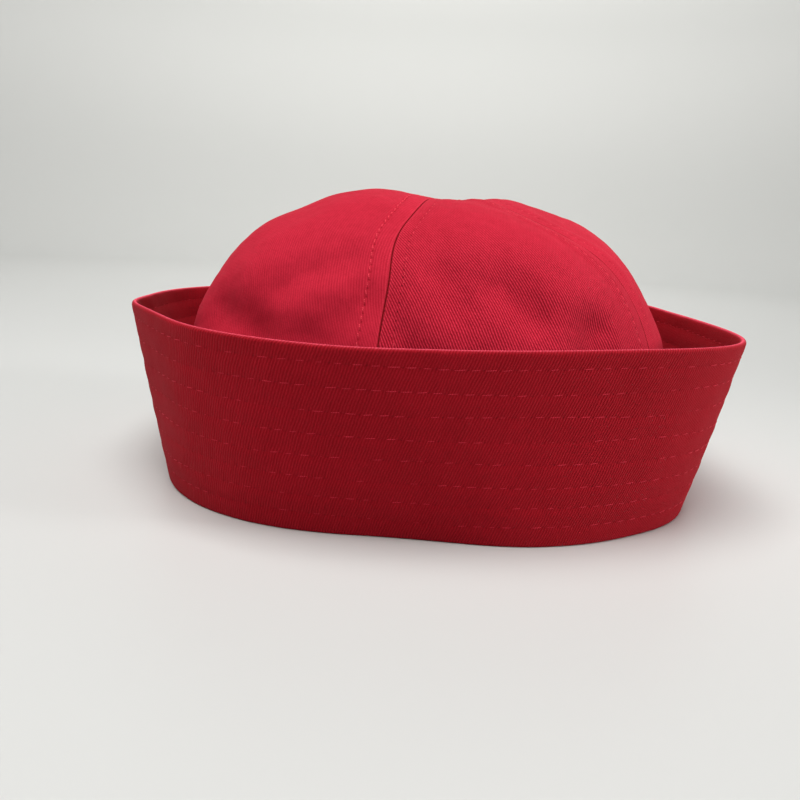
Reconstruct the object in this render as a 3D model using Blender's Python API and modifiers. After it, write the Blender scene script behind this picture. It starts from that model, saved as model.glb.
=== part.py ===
"""Sailor cap: a crown of four sewn gores inside a tall, double-layered brim that is turned up all round.

The cap rests on the brim's folded lower edge. Metres, +Z up, with the origin on the floor under the middle of
the brim. The long way is X, the front is -Y, and azimuths turn from +X towards +Y.
"""

import math

import bmesh
import bpy
import numpy as np
from mathutils import Vector

MM = 0.001

# --- Brim -----------------------------------------------------------------------------------------
BASE_HALF_LENGTH = 103.3 * MM  # outer face of the fold, along X
BASE_HALF_WIDTH = 87.8 * MM  # outer face of the fold, along Y
BASE_SQUARENESS = 2.44  # 2 is an ellipse, and more is boxier
BRIM_HEIGHT = 65.6 * MM  # along the cloth, from the fold to the top edge
BRIM_BOW = 0.5 * MM  # how far the middle of the height bows outwards
BRIM_THICKNESS = 2.0 * MM  # two layers of twill with an interlining
FOLD_RADIUS = 2.6 * MM  # outside radius of the lower fold
TURN_IN = 10.2 * MM  # how far the lower fold reaches in under the crown
EDGE_ROUNDING = 0.85 * MM  # the top edge and the inner end of the turn-in

# The brim leans out by a different angle on each side, and its fold strays a little from the plain oval.
# One row each 30 degrees of the way round.
#   azimuth (deg), lean (deg), stray (mm, outwards)
BRIM_STATIONS = (
    (0, 9.3, -0.7),
    (30, 7.4, 0.1),
    (60, 9.4, 0.0),
    (90, 12.4, 0.1),
    (120, 14.6, -0.6),
    (150, 15.6, -0.7),
    (180, 13.5, -0.7),
    (210, 8.2, -0.6),
    (240, 12.6, 0.0),
    (270, 13.7, -1.1),
    (300, 7.9, 2.2),
    (330, 12.1, 1.8),
)

# --- Crown ----------------------------------------------------------------------------------------
CROWN_THICKNESS = 1.2 * MM
CROWN_HEIGHT = 109.7 * MM  # above the floor, before the dip at the apex
CROWN_INSET = 7.6 * MM  # crown's outer face inside the brim's outer face, at the base
CROWN_INSET_TO_RIGHT = 0.4 * MM  # more on the right, less on the left
APEX = Vector((3.1 * MM, 1.8 * MM))
APEX_DIP = 3.2 * MM
APEX_DIP_RADIUS = 23.3 * MM
APEX_HOLE = 0.6 * MM  # where the four points of the gores meet
SIDE_ROUNDNESS = 2.39  # exponent of the profile's run, 2 is a circle
SIDE_ROUNDNESS_TO_RIGHT = 0.32  # the right side stands straighter than the left one
TOP_ROUNDNESS = 2.98  # exponent of the profile's rise, 2 is a circle
TOP_ROUNDNESS_TO_RIGHT = -0.49  # the right shoulder is rounder than the left one
LEFT_FULLNESS = 2.8 * MM  # the left shoulder stands higher than the right one
GAP = 0.3 * MM  # between neighbouring pieces

# The gores meet at four seams, and each gore puffs out between its two.
#   name, first seam (deg), last seam (deg), puff (mm)
GORES = (
    ("crown_panel_front_left", 158.8, 255.2, 3.0),
    ("crown_panel_front_right", 255.2, 326.6, 3.2),
    ("crown_panel_back_right", 326.6, 426.0, 5.8),
    ("crown_panel_back_left", 66.0, 158.8, 3.9),
)

# Soft folds in the gores. Each runs straight from one place to another, in azimuth and rise, where a rise of 0
# is the base and 90 is the apex. A negative depth is a ridge.
#   start azimuth, start rise, end azimuth, end rise (deg), half width (mm), depth (mm)
FOLDS = (
    (219, 31, 228, 22, 9.0, 2.2),
    (226, 33, 242, 45, 6.5, 1.5),
    (233, 28, 244, 42, 5.0, -0.9),
    (264, 27, 265, 20, 8.0, 1.3),
    (274, 40, 277, 35, 8.5, 1.2),
    (294, 38, 297, 28, 8.0, 1.8),
    (308, 37, 309, 26, 7.0, 1.3),
    (20, 30, 40, 44, 10.0, 1.4),
    (112, 34, 128, 28, 11.0, 1.6),
)

NO_FOLD = 0.01 * MM  # a fold shallower than this leaves the cloth as it is

# --- Mesh density ---------------------------------------------------------------------------------
BRIM_DIVISIONS = 90
BRIM_WALL_DIVISIONS = 7
FOLD_DIVISIONS = 4
TURN_IN_DIVISIONS = 1
EDGE_SEGMENTS = 3
GORE_COLUMNS = 18
GORE_ROWS = 15
OUTLINE_STEPS = 720  # fine steps round the oval, from which even ones are read
DIRECTION_STEP = 0.5  # degrees either side of a place, from which the cloth's direction is read
SHARP_EDGE = 60.0  # degrees between faces, past which the brim's edge is rounded

# --- Cloth ----------------------------------------------------------------------------------------
CROWN_RED = (0.53, 0.016, 0.040, 1.0)
BRIM_RED = (0.43, 0.010, 0.026, 1.0)
CLOTH_ROUGHNESS = 0.85


def spline_round(values):
    """Returns a smooth closed curve, as a function of degrees, through values at equal parts of a turn."""
    count = len(values)
    known = np.array(values, dtype=float)
    span = 360.0 / count
    system = np.zeros((count, count))
    for row in range(count):
        system[row, row] = 4.0
        system[row, (row + 1) % count] += 1.0
        system[row, (row - 1) % count] += 1.0
    second = np.roll(known, 1) - 2.0 * known + np.roll(known, -1)
    curvature = np.linalg.solve(system, 6.0 * second / span**2)

    def at(degrees):
        place = (degrees % 360.0) / span
        here = int(place) % count
        there = (here + 1) % count
        b = place - int(place)
        a = 1.0 - b
        bend = ((a**3 - a) * curvature[here] + (b**3 - b) * curvature[there]) * span**2 / 6.0
        return float(a * known[here] + b * known[there] + bend)

    return at


brim_lean = spline_round([lean for _, lean, _ in BRIM_STATIONS])
brim_stray = spline_round([stray for _, _, stray in BRIM_STATIONS])


def signed_power(value, power):
    """Raises value to power and keeps its sign."""
    return math.copysign(abs(value) ** power, value)


def fold_point(degrees):
    """Returns the outer face of the fold at the floor, in plan, at a station angle."""
    turn = math.radians(degrees)
    x = BASE_HALF_LENGTH * signed_power(math.cos(turn), 2.0 / BASE_SQUARENESS)
    y = BASE_HALF_WIDTH * signed_power(math.sin(turn), 2.0 / BASE_SQUARENESS)
    slope = Vector(
        (
            signed_power(x / BASE_HALF_LENGTH, BASE_SQUARENESS - 1.0) / BASE_HALF_LENGTH,
            signed_power(y / BASE_HALF_WIDTH, BASE_SQUARENESS - 1.0) / BASE_HALF_WIDTH,
        )
    )
    return Vector((x, y)) + slope.normalized() * brim_stray(degrees) * MM


def fold_outline(count):
    """Returns places evenly spaced round the fold, each as (point, outward direction, station angle)."""
    angles = [360.0 * step / OUTLINE_STEPS for step in range(OUTLINE_STEPS)]
    points = [fold_point(angle) for angle in angles]
    lengths = [0.0]
    for step in range(OUTLINE_STEPS):
        lengths.append(lengths[-1] + (points[(step + 1) % OUTLINE_STEPS] - points[step]).length)
    places = []
    for index in range(count):
        wanted = lengths[-1] * index / count
        step = int(np.searchsorted(lengths, wanted, side="right")) - 1
        part = (wanted - lengths[step]) / (lengths[step + 1] - lengths[step])
        angle = angles[step] + part * 360.0 / OUTLINE_STEPS
        before = fold_point(angle - DIRECTION_STEP)
        after = fold_point(angle + DIRECTION_STEP)
        along = (after - before).normalized()
        places.append((fold_point(angle), Vector((along.y, -along.x)), angle))
    return places


def brim_section(lean):
    """Returns the brim's outer skin at one place as (outwards, up), from the turn-in to the top edge."""
    radius = FOLD_RADIUS
    swing = math.pi / 2.0 - lean  # the fold turns from lying flat to the leaning wall
    tangent = radius * math.tan(swing / 2.0)
    centre = Vector((-tangent, radius))
    section = []
    for step in range(TURN_IN_DIVISIONS):
        part = step / TURN_IN_DIVISIONS
        section.append(Vector((-TURN_IN + part * (TURN_IN - tangent), 0.0)))
    for step in range(FOLD_DIVISIONS + 1):
        turn = swing * step / FOLD_DIVISIONS
        section.append(centre + radius * Vector((math.sin(turn), -math.cos(turn))))
    for step in range(1, BRIM_WALL_DIVISIONS + 1):
        part = step / BRIM_WALL_DIVISIONS
        reach = tangent + part * (BRIM_HEIGHT - tangent)
        bow = BRIM_BOW * 4.0 * part * (1.0 - part)
        section.append(Vector((reach * math.sin(lean) + bow, reach * math.cos(lean))))
    return section


def polar_radius_of_fold():
    """Returns the distance of the fold's outer face from the Z axis as a function of azimuth in degrees."""
    points = [fold_point(360.0 * step / OUTLINE_STEPS) for step in range(OUTLINE_STEPS)]
    azimuths = np.array([math.degrees(math.atan2(point.y, point.x)) % 360.0 for point in points])
    radii = np.array([point.length for point in points])
    order = np.argsort(azimuths)
    return lambda degrees: float(np.interp(degrees % 360.0, azimuths[order], radii[order], period=360.0))


fold_radius_at = polar_radius_of_fold()


def gore_puff(degrees):
    """Returns how far the cloth stands out between its seams at an azimuth, in metres."""
    for _, first, last, puff in GORES:
        turned = (degrees - first) % 360.0
        if turned <= last - first:
            return puff * MM * math.sin(math.pi * turned / (last - first))
    return 0.0


def plain_crown_point(degrees, rise):
    """Returns the crown's outer face at an azimuth and a rise in degrees, before the folds are pressed in."""
    azimuth = math.radians(degrees)
    outward = Vector((math.cos(azimuth), math.sin(azimuth)))
    inset = CROWN_INSET + CROWN_INSET_TO_RIGHT * outward.x
    base = outward * (fold_radius_at(degrees) - inset)
    from_apex = base - APEX
    outward = from_apex.normalized()

    side_roundness = SIDE_ROUNDNESS + SIDE_ROUNDNESS_TO_RIGHT * math.cos(azimuth)
    top_roundness = TOP_ROUNDNESS + TOP_ROUNDNESS_TO_RIGHT * math.cos(azimuth)
    run = math.cos(math.radians(rise)) ** (2.0 / side_roundness)
    lift = math.sin(math.radians(rise)) ** (2.0 / top_roundness)

    puff = gore_puff(degrees) * 2.0 * run * math.sqrt(max(0.0, 1.0 - run**2))
    steep = math.hypot(run, lift)
    plan = APEX + from_apex * run + outward * puff * run / steep

    foot = BRIM_THICKNESS + GAP
    height = foot + (CROWN_HEIGHT - foot) * lift + puff * lift / steep
    height -= APEX_DIP * math.exp(-((run * from_apex.length / APEX_DIP_RADIUS) ** 2))
    height -= LEFT_FULLNESS * outward.x * 4.0 * run * (1.0 - run) * lift
    return Vector((plan.x, plan.y, height))


def crown_normal(degrees, rise):
    """Returns the outward direction of the plain crown at an azimuth and a rise in degrees."""
    step = DIRECTION_STEP
    around = plain_crown_point(degrees + step, rise) - plain_crown_point(degrees - step, rise)
    upward = plain_crown_point(degrees, rise + step) - plain_crown_point(degrees, rise - step)
    return around.cross(upward).normalized()


def distance_to_line(point, start, end):
    """Returns the distance of point from the straight line between start and end."""
    along = end - start
    part = max(0.0, min(1.0, (point - start).dot(along) / along.length_squared))
    return (point - (start + along * part)).length


def crown_point(degrees, rise):
    """Returns the crown's outer face at an azimuth and a rise in degrees, with its folds."""
    point = plain_crown_point(degrees, rise)
    depth = 0.0
    for start, start_rise, end, end_rise, half_width, fold_depth in FOLDS:
        near = plain_crown_point(start, start_rise)
        far = plain_crown_point(end, end_rise)
        away = distance_to_line(point, near, far) / (half_width * MM)
        depth += fold_depth * MM * math.exp(-(away**2))
    if abs(depth) < NO_FOLD:
        return point
    return point - crown_normal(degrees, rise) * depth


def gore_rises():
    """Returns the rises of a gore's rows, closer together near the apex, where the last one ends."""
    reach = BASE_HALF_LENGTH / 2.0 + BASE_HALF_WIDTH / 2.0
    last_run = APEX_HOLE / reach
    last = math.degrees(math.acos(last_run ** (SIDE_ROUNDNESS / 2.0)))
    return [last * row / GORE_ROWS for row in range(GORE_ROWS + 1)]


def grid_mesh(name, rows, closed):
    """Makes an open mesh from rows of points, each joined to the next, and each closed on itself if asked."""
    mesh = bpy.data.meshes.new(name)
    build = bmesh.new()
    made = [[build.verts.new(point) for point in row] for row in rows]
    columns = len(rows[0])
    for low, high in zip(made, made[1:]):
        for column in range(columns if closed else columns - 1):
            beside = (column + 1) % columns
            build.faces.new((low[column], low[beside], high[beside], high[column]))
    build.normal_update()
    build.to_mesh(mesh)
    build.free()
    mesh.shade_smooth()
    return mesh


def cloth(name, colour):
    """Makes the plain material of one piece of cloth."""
    material = bpy.data.materials.new(name)
    material.use_nodes = True
    shader = material.node_tree.nodes["Principled BSDF"]
    shader.inputs["Base Color"].default_value = colour
    shader.inputs["Roughness"].default_value = CLOTH_ROUGHNESS
    shader.inputs["Metallic"].default_value = 0.0
    return material


def add_piece(name, mesh, thickness, colour, collection):
    """Puts a cloth skin in the collection and gives it its thickness, inwards from the outer face."""
    piece = bpy.data.objects.new(name, mesh)
    collection.objects.link(piece)
    mesh.materials.append(cloth(name, colour))
    wall = piece.modifiers.new("thickness", "SOLIDIFY")
    wall.thickness = thickness
    wall.offset = -1.0
    wall.use_even_offset = True
    return piece


def make_brim(collection):
    """Makes the turned-up brim with its lower fold and its rounded edges."""
    places = fold_outline(BRIM_DIVISIONS)
    sections = [brim_section(math.radians(brim_lean(angle))) for _, _, angle in places]
    rows = []
    for level in range(len(sections[0])):
        row = []
        for (point, outward, _), section in zip(places, sections):
            out, up = section[level]
            plan = point + outward * out
            row.append((plan.x, plan.y, up))
        rows.append(row)
    brim = add_piece("brim", grid_mesh("brim", rows, closed=True), BRIM_THICKNESS, BRIM_RED, collection)
    edges = brim.modifiers.new("rounded edges", "BEVEL")
    edges.width = EDGE_ROUNDING
    edges.segments = EDGE_SEGMENTS
    edges.limit_method = "ANGLE"
    edges.angle_limit = math.radians(SHARP_EDGE)
    return brim


def make_gore(name, first, last, collection):
    """Makes one gore of the crown, half a gap short of the seam on each side."""
    rows = []
    for rise in gore_rises():
        middle = plain_crown_point((first + last) / 2.0, rise)
        radius = (Vector((middle.x, middle.y)) - APEX).length
        trim = math.degrees(math.asin(GAP / 2.0 / radius))
        start = first + trim
        sweep = last - trim - start
        columns = range(GORE_COLUMNS + 1)
        rows.append([crown_point(start + sweep * column / GORE_COLUMNS, rise) for column in columns])
    return add_piece(name, grid_mesh(name, rows, closed=False), CROWN_THICKNESS, CROWN_RED, collection)


def stand_over_origin(brim, pieces, collection):
    """Hangs the pieces on an empty that brings the middle of the brim's box over the origin."""
    bpy.context.view_layer.update()
    finished = brim.evaluated_get(bpy.context.evaluated_depsgraph_get())
    corners = [Vector(corner) for corner in finished.bound_box]
    low = Vector([min(corner[axis] for corner in corners) for axis in range(3)])
    high = Vector([max(corner[axis] for corner in corners) for axis in range(3)])
    stand = bpy.data.objects.new("stand", None)
    collection.objects.link(stand)
    stand.location = (-(low.x + high.x) / 2.0, -(low.y + high.y) / 2.0, 0.0)
    for piece in pieces:
        piece.parent = stand


def main():
    """Builds the cap in a collection of its own."""
    for old in list(bpy.data.objects):
        bpy.data.objects.remove(old)
    collection = bpy.data.collections.new("sailor_cap")
    bpy.context.scene.collection.children.link(collection)
    brim = make_brim(collection)
    gores = [make_gore(name, first, last, collection) for name, first, last, _ in GORES]
    stand_over_origin(brim, [brim, *gores], collection)


main()
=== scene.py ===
"""Dresses a red cotton sailor cap: four sewn twill gores inside a tall brim with eight rows of stitching.

Metres, +Z up, with the origin on the floor under the middle of the brim. The long way is X, the front is -Y,
and azimuths turn from +X towards +Y. The cap's form repeats the named sizes of its solids, in finer steps.
"""

import logging
import math
from collections.abc import Sequence
from dataclasses import dataclass
from enum import Enum
from functools import cached_property
from typing import NamedTuple

import bpy
import numpy as np
from mathutils import Matrix, Vector


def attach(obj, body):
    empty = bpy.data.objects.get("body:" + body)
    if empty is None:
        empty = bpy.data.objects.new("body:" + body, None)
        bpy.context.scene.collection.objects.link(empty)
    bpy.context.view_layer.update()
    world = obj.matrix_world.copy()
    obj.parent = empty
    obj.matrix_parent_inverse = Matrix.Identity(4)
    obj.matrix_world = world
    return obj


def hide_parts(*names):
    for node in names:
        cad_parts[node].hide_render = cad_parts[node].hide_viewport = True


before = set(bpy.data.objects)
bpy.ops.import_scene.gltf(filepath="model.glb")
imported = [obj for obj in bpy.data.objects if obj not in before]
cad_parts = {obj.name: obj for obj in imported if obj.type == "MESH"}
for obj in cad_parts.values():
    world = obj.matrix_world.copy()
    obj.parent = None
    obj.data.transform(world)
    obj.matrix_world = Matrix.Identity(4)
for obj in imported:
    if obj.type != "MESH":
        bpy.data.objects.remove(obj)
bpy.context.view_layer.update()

Array = np.ndarray
Colour = tuple[float, float, float, float]
MM = 0.001
TURN = 2.0 * math.pi
WEAVE_MAP, ROWS_MAP = "weave", "rows"
EDGE_LAYER, RELIEF_LAYER = "from_edge", "rib_relief"
UNSTITCHED = 20.0  # millimetres from a row of stitches, for cloth that has none
log = logging.getLogger("sailor_cap")


# --- Tables -----------------------------------------------------------------------------------------------


class Push(NamedTuple):
    """A place where one of the brim's edges stands further out or up than usual, or further in or down."""

    azimuth: float  # degrees
    half_width: float  # degrees
    by: float  # millimetres


class Seam(NamedTuple):
    """A seam of the crown, which wanders a little on its way from the base to the apex."""

    azimuth: float  # degrees
    wander: tuple[tuple[float, float], ...]  # rises and how far the seam strays there, both in degrees


class GoreSpan(NamedTuple):
    """One gore of the crown, between its two seams."""

    name: str
    first: Seam
    last: Seam
    puff: float  # millimetres
    grain: float  # degrees from the gore's width to the twill's ribs
    relief: float  # how far the ribs show, in slope and painted groove shade, from 0 to 1


class Fold(NamedTuple):
    """A soft fold in the crown. A negative depth is a ridge."""

    start: float  # azimuth, degrees
    start_rise: float  # 0 at the base and 90 at the apex, degrees
    end: float
    end_rise: float
    half_width: float  # millimetres
    depth: float  # millimetres


# the brim's lean outwards in degrees, and its fold's stray from the plain oval in millimetres, both every 30
# degrees round the cap
BRIM_LEANS = (9.3, 7.4, 9.4, 12.4, 14.6, 15.6, 13.5, 8.2, 12.6, 13.7, 7.9, 12.1)
BRIM_STRAYS = (-0.7, 0.1, 0.0, 0.1, -0.6, -0.7, -0.7, -0.6, 0.0, -1.1, 2.2, 1.8)
TOE_PUSHES = (Push(261, 13, -1.2), Push(289, 13, 1.8), Push(314, 10, -1.4))
RIM_LIFTS = (Push(28, 9, 1.3),)

FRONT_WANDER = (
    (0, 0.3),
    (22, 0.6),
    (28, 0.6),
    (33, 0.6),
    (38, 0.3),
    (45, -0.8),
    (52, -1.0),
    (60, 0.6),
    (68, 1.8),
    (90, 0.0),
)
RIGHT_WANDER = (
    (0, -0.8),
    (28, 0.0),
    (38, 0.3),
    (46, -0.3),
    (52, -2.3),
    (60, -7.9),
    (66, -12.4),
    (90, -13.8),
)
FRONT_SEAM = Seam(255.2, FRONT_WANDER)
RIGHT_SEAM = Seam(326.6, RIGHT_WANDER)
BACK_SEAM = Seam(66.0, ((0, 0.0), (30, 0.7), (55, -0.8), (90, 0.0)))
LEFT_SEAM = Seam(158.8, ((0, 0.0), (25, -0.6), (50, 0.8), (90, 0.0)))

GORES = (
    GoreSpan("crown_panel_front_left", LEFT_SEAM, FRONT_SEAM, 3.0, 122, 0.3),
    GoreSpan("crown_panel_front_right", FRONT_SEAM, RIGHT_SEAM, 3.2, 110, 1.0),
    GoreSpan("crown_panel_back_right", RIGHT_SEAM, BACK_SEAM, 5.8, 112, 0.6),
    GoreSpan("crown_panel_back_left", BACK_SEAM, LEFT_SEAM, 3.9, 112, 0.5),
)

FOLDS = (
    Fold(212, 23, 226, 21, 11.0, 5.0),
    Fold(229, 32, 243, 41, 6.5, 2.1),
    Fold(241, 23, 251, 31, 7.5, 1.7),
    Fold(226, 20, 238, 18, 10.0, 1.0),
    Fold(257, 21, 300, 22, 13.0, -1.3),
    Fold(262, 24, 264, 18, 8.0, 1.6),
    Fold(272, 39, 275, 33, 7.5, 1.8),
    Fold(287, 38, 294, 32, 7.5, 2.6),
    Fold(308, 30, 306, 17, 8.5, 4.2),
    Fold(20, 30, 40, 44, 10.0, 1.4),
    Fold(112, 34, 128, 28, 11.0, 1.6),
    Fold(212, 53, 181, 57, 11.0, 1.4),
    Fold(190, 28, 192, 36, 10.0, 0.4),
    Fold(305, 78, 350, 82, 8.0, -1.2),
    Fold(242, 80, 272, 79, 6.0, 1.2),
    Fold(334, 66, 18, 70, 11.0, 1.4),
    Fold(348, 38, 350, 52, 11.0, 0.9),
)


# --- Curves and waves -------------------------------------------------------------------------------------


def cubic(ends: tuple[Array, Array], bends: tuple[Array, Array], part: Array, span: Array) -> Array:
    """Works out a cubic spline within its spans.

    Args:
        ends: The values at both ends of each span.
        bends: The second derivatives there.
        part: How far into its span each place lies, from 0 to 1.
        span: The spans' lengths.

    Returns:
        The values at the places.
    """
    rest = 1.0 - part
    curved = (rest**3 - rest) * bends[0] + (part**3 - part) * bends[1]
    return rest * ends[0] + part * ends[1] + curved * span**2 / 6.0


class RoundSpline:
    """A smooth closed curve through values at equal parts of a turn."""

    def __init__(self, values: Sequence[float]) -> None:
        """Fits the curve.

        Args:
            values: The values to pass through, the first at 0 degrees.
        """
        ring = np.eye(len(values))
        self.known = np.array(values, dtype=float)
        self.span = 360.0 / len(values)
        system = 4.0 * ring + np.roll(ring, 1, axis=1) + np.roll(ring, -1, axis=1)
        second = np.roll(self.known, 1) - 2.0 * self.known + np.roll(self.known, -1)
        self.bend = np.linalg.solve(system, 6.0 * second / self.span**2)

    def __call__(self, degrees: Array) -> Array:
        """Follows the curve.

        Args:
            degrees: Angles.

        Returns:
            The value at each angle.
        """
        place = np.mod(degrees, 360.0) / self.span
        here = np.floor(place).astype(int) % len(self.known)
        there = (here + 1) % len(self.known)
        ends, bends = (self.known[here], self.known[there]), (self.bend[here], self.bend[there])
        return cubic(ends, bends, place - np.floor(place), self.span)


class OpenSpline:
    """A smooth open curve through a few known values."""

    def __init__(self, known: Sequence[tuple[float, float]]) -> None:
        """Fits the curve.

        Args:
            known: Places in order and the values there.
        """
        self.places, self.values = np.array(known, dtype=float).T
        spans = np.diff(self.places)
        slopes = np.diff(self.values) / spans
        count = len(known)
        system, target = np.eye(count), np.zeros(count)
        for middle in range(1, count - 1):
            before, after = spans[middle - 1], spans[middle]
            system[middle, middle - 1 : middle + 2] = before, 2.0 * (before + after), after
            target[middle] = 6.0 * (slopes[middle] - slopes[middle - 1])
        self.bend = np.linalg.solve(system, target)

    def __call__(self, place: Array) -> Array:
        """Follows the curve.

        Args:
            place: Places, which are kept within the known ones.

        Returns:
            The value at each place.
        """
        place = np.clip(place, self.places[0], self.places[-1])
        here = np.clip(np.searchsorted(self.places, place) - 1, 0, len(self.places) - 2)
        span = self.places[here + 1] - self.places[here]
        ends, bends = (self.values[here], self.values[here + 1]), (self.bend[here], self.bend[here + 1])
        return cubic(ends, bends, (place - self.places[here]) / span, span)


class SoftWaves:
    """Low, uneven undulations of cloth: a sum of plane waves in random directions."""

    count = 14
    spread = (0.6, 1.7)  # their lengths, in mean wavelengths

    def __init__(self, seed: int, wavelength: float, height: float) -> None:
        """Draws the waves.

        Args:
            seed: Fixes the random draw.
            wavelength: Their mean length, in metres.
            height: Their usual height, in metres.
        """
        draw = np.random.default_rng(seed)
        directions = unit(draw.normal(size=(self.count, 3)))
        lengths = wavelength * draw.uniform(*self.spread, self.count)
        self.waves = directions * (TURN / lengths)[:, None]
        self.phases = draw.uniform(0.0, TURN, self.count)
        self.height = height * math.sqrt(2.0 / self.count)

    def __call__(self, points: Array) -> Array:
        """Returns the height of the waves at points, in metres."""
        return self.height * np.sin(points @ self.waves.T + self.phases).sum(axis=-1)


def drawn_curves(seed: int, spread: float, knots: int, count: int) -> list[RoundSpline]:
    """Returns a number of slow, random curves round the cap, each through its own values near 0."""
    draw = np.random.default_rng(seed)
    return [RoundSpline(draw.normal(0.0, spread, knots)) for _ in range(count)]


def signed_power(value: Array, power: float) -> Array:
    """Raises values to a power and keeps their signs."""
    return np.sign(value) * np.abs(value) ** power


def bell(away: Array) -> Array:
    """Returns a bell curve, 1 at the middle and nearly 0 two half-widths away."""
    return np.exp(-(away**2))


def ease(value: Array, low: float, high: float) -> Array:
    """Returns 0 below low, 1 above high and a smooth step between."""
    part = np.clip((value - low) / (high - low), 0.0, 1.0)
    return part * part * (3.0 - 2.0 * part)


def unit(vectors: Array) -> Array:
    """Returns vectors scaled to length 1."""
    return vectors / np.maximum(np.linalg.norm(vectors, axis=-1, keepdims=True), 1e-12)


def azimuth_of(plan: Array) -> Array:
    """Returns the azimuths of points in plan, from 0 to 360 degrees."""
    return np.degrees(np.arctan2(plan[..., 1], plan[..., 0])) % 360.0


def pushed(azimuth: Array, pushes: Sequence[Push]) -> Array:
    """Adds up some pushes.

    Args:
        azimuth: Azimuths, in degrees.
        pushes: The pushes.

    Returns:
        How far they move an edge at the azimuths, in metres.
    """
    total = np.zeros(azimuth.shape)
    for push in pushes:
        away = (azimuth - push.azimuth + 180.0) % 360.0 - 180.0
        total += push.by * MM * bell(away / push.half_width)
    return total


def running_sum(steps: Array) -> Array:
    """Returns the sum of steps up to each of the points that they join, from 0."""
    return np.concatenate([np.zeros_like(steps[..., :1]), np.cumsum(steps, axis=-1)], axis=-1)


def way_along(points: Array) -> Array:
    """Returns the way along lines of points up to each point."""
    return running_sum(np.linalg.norm(np.diff(points, axis=-2), axis=-1))


def points_at(places: Array, known: Array, points: Array) -> Array:
    """Returns the points at some places of a line, whose own points lie at known places."""
    return np.stack([np.interp(places, known, column) for column in points.T], axis=-1)


# --- The cap's form ---------------------------------------------------------------------------------------


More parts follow.
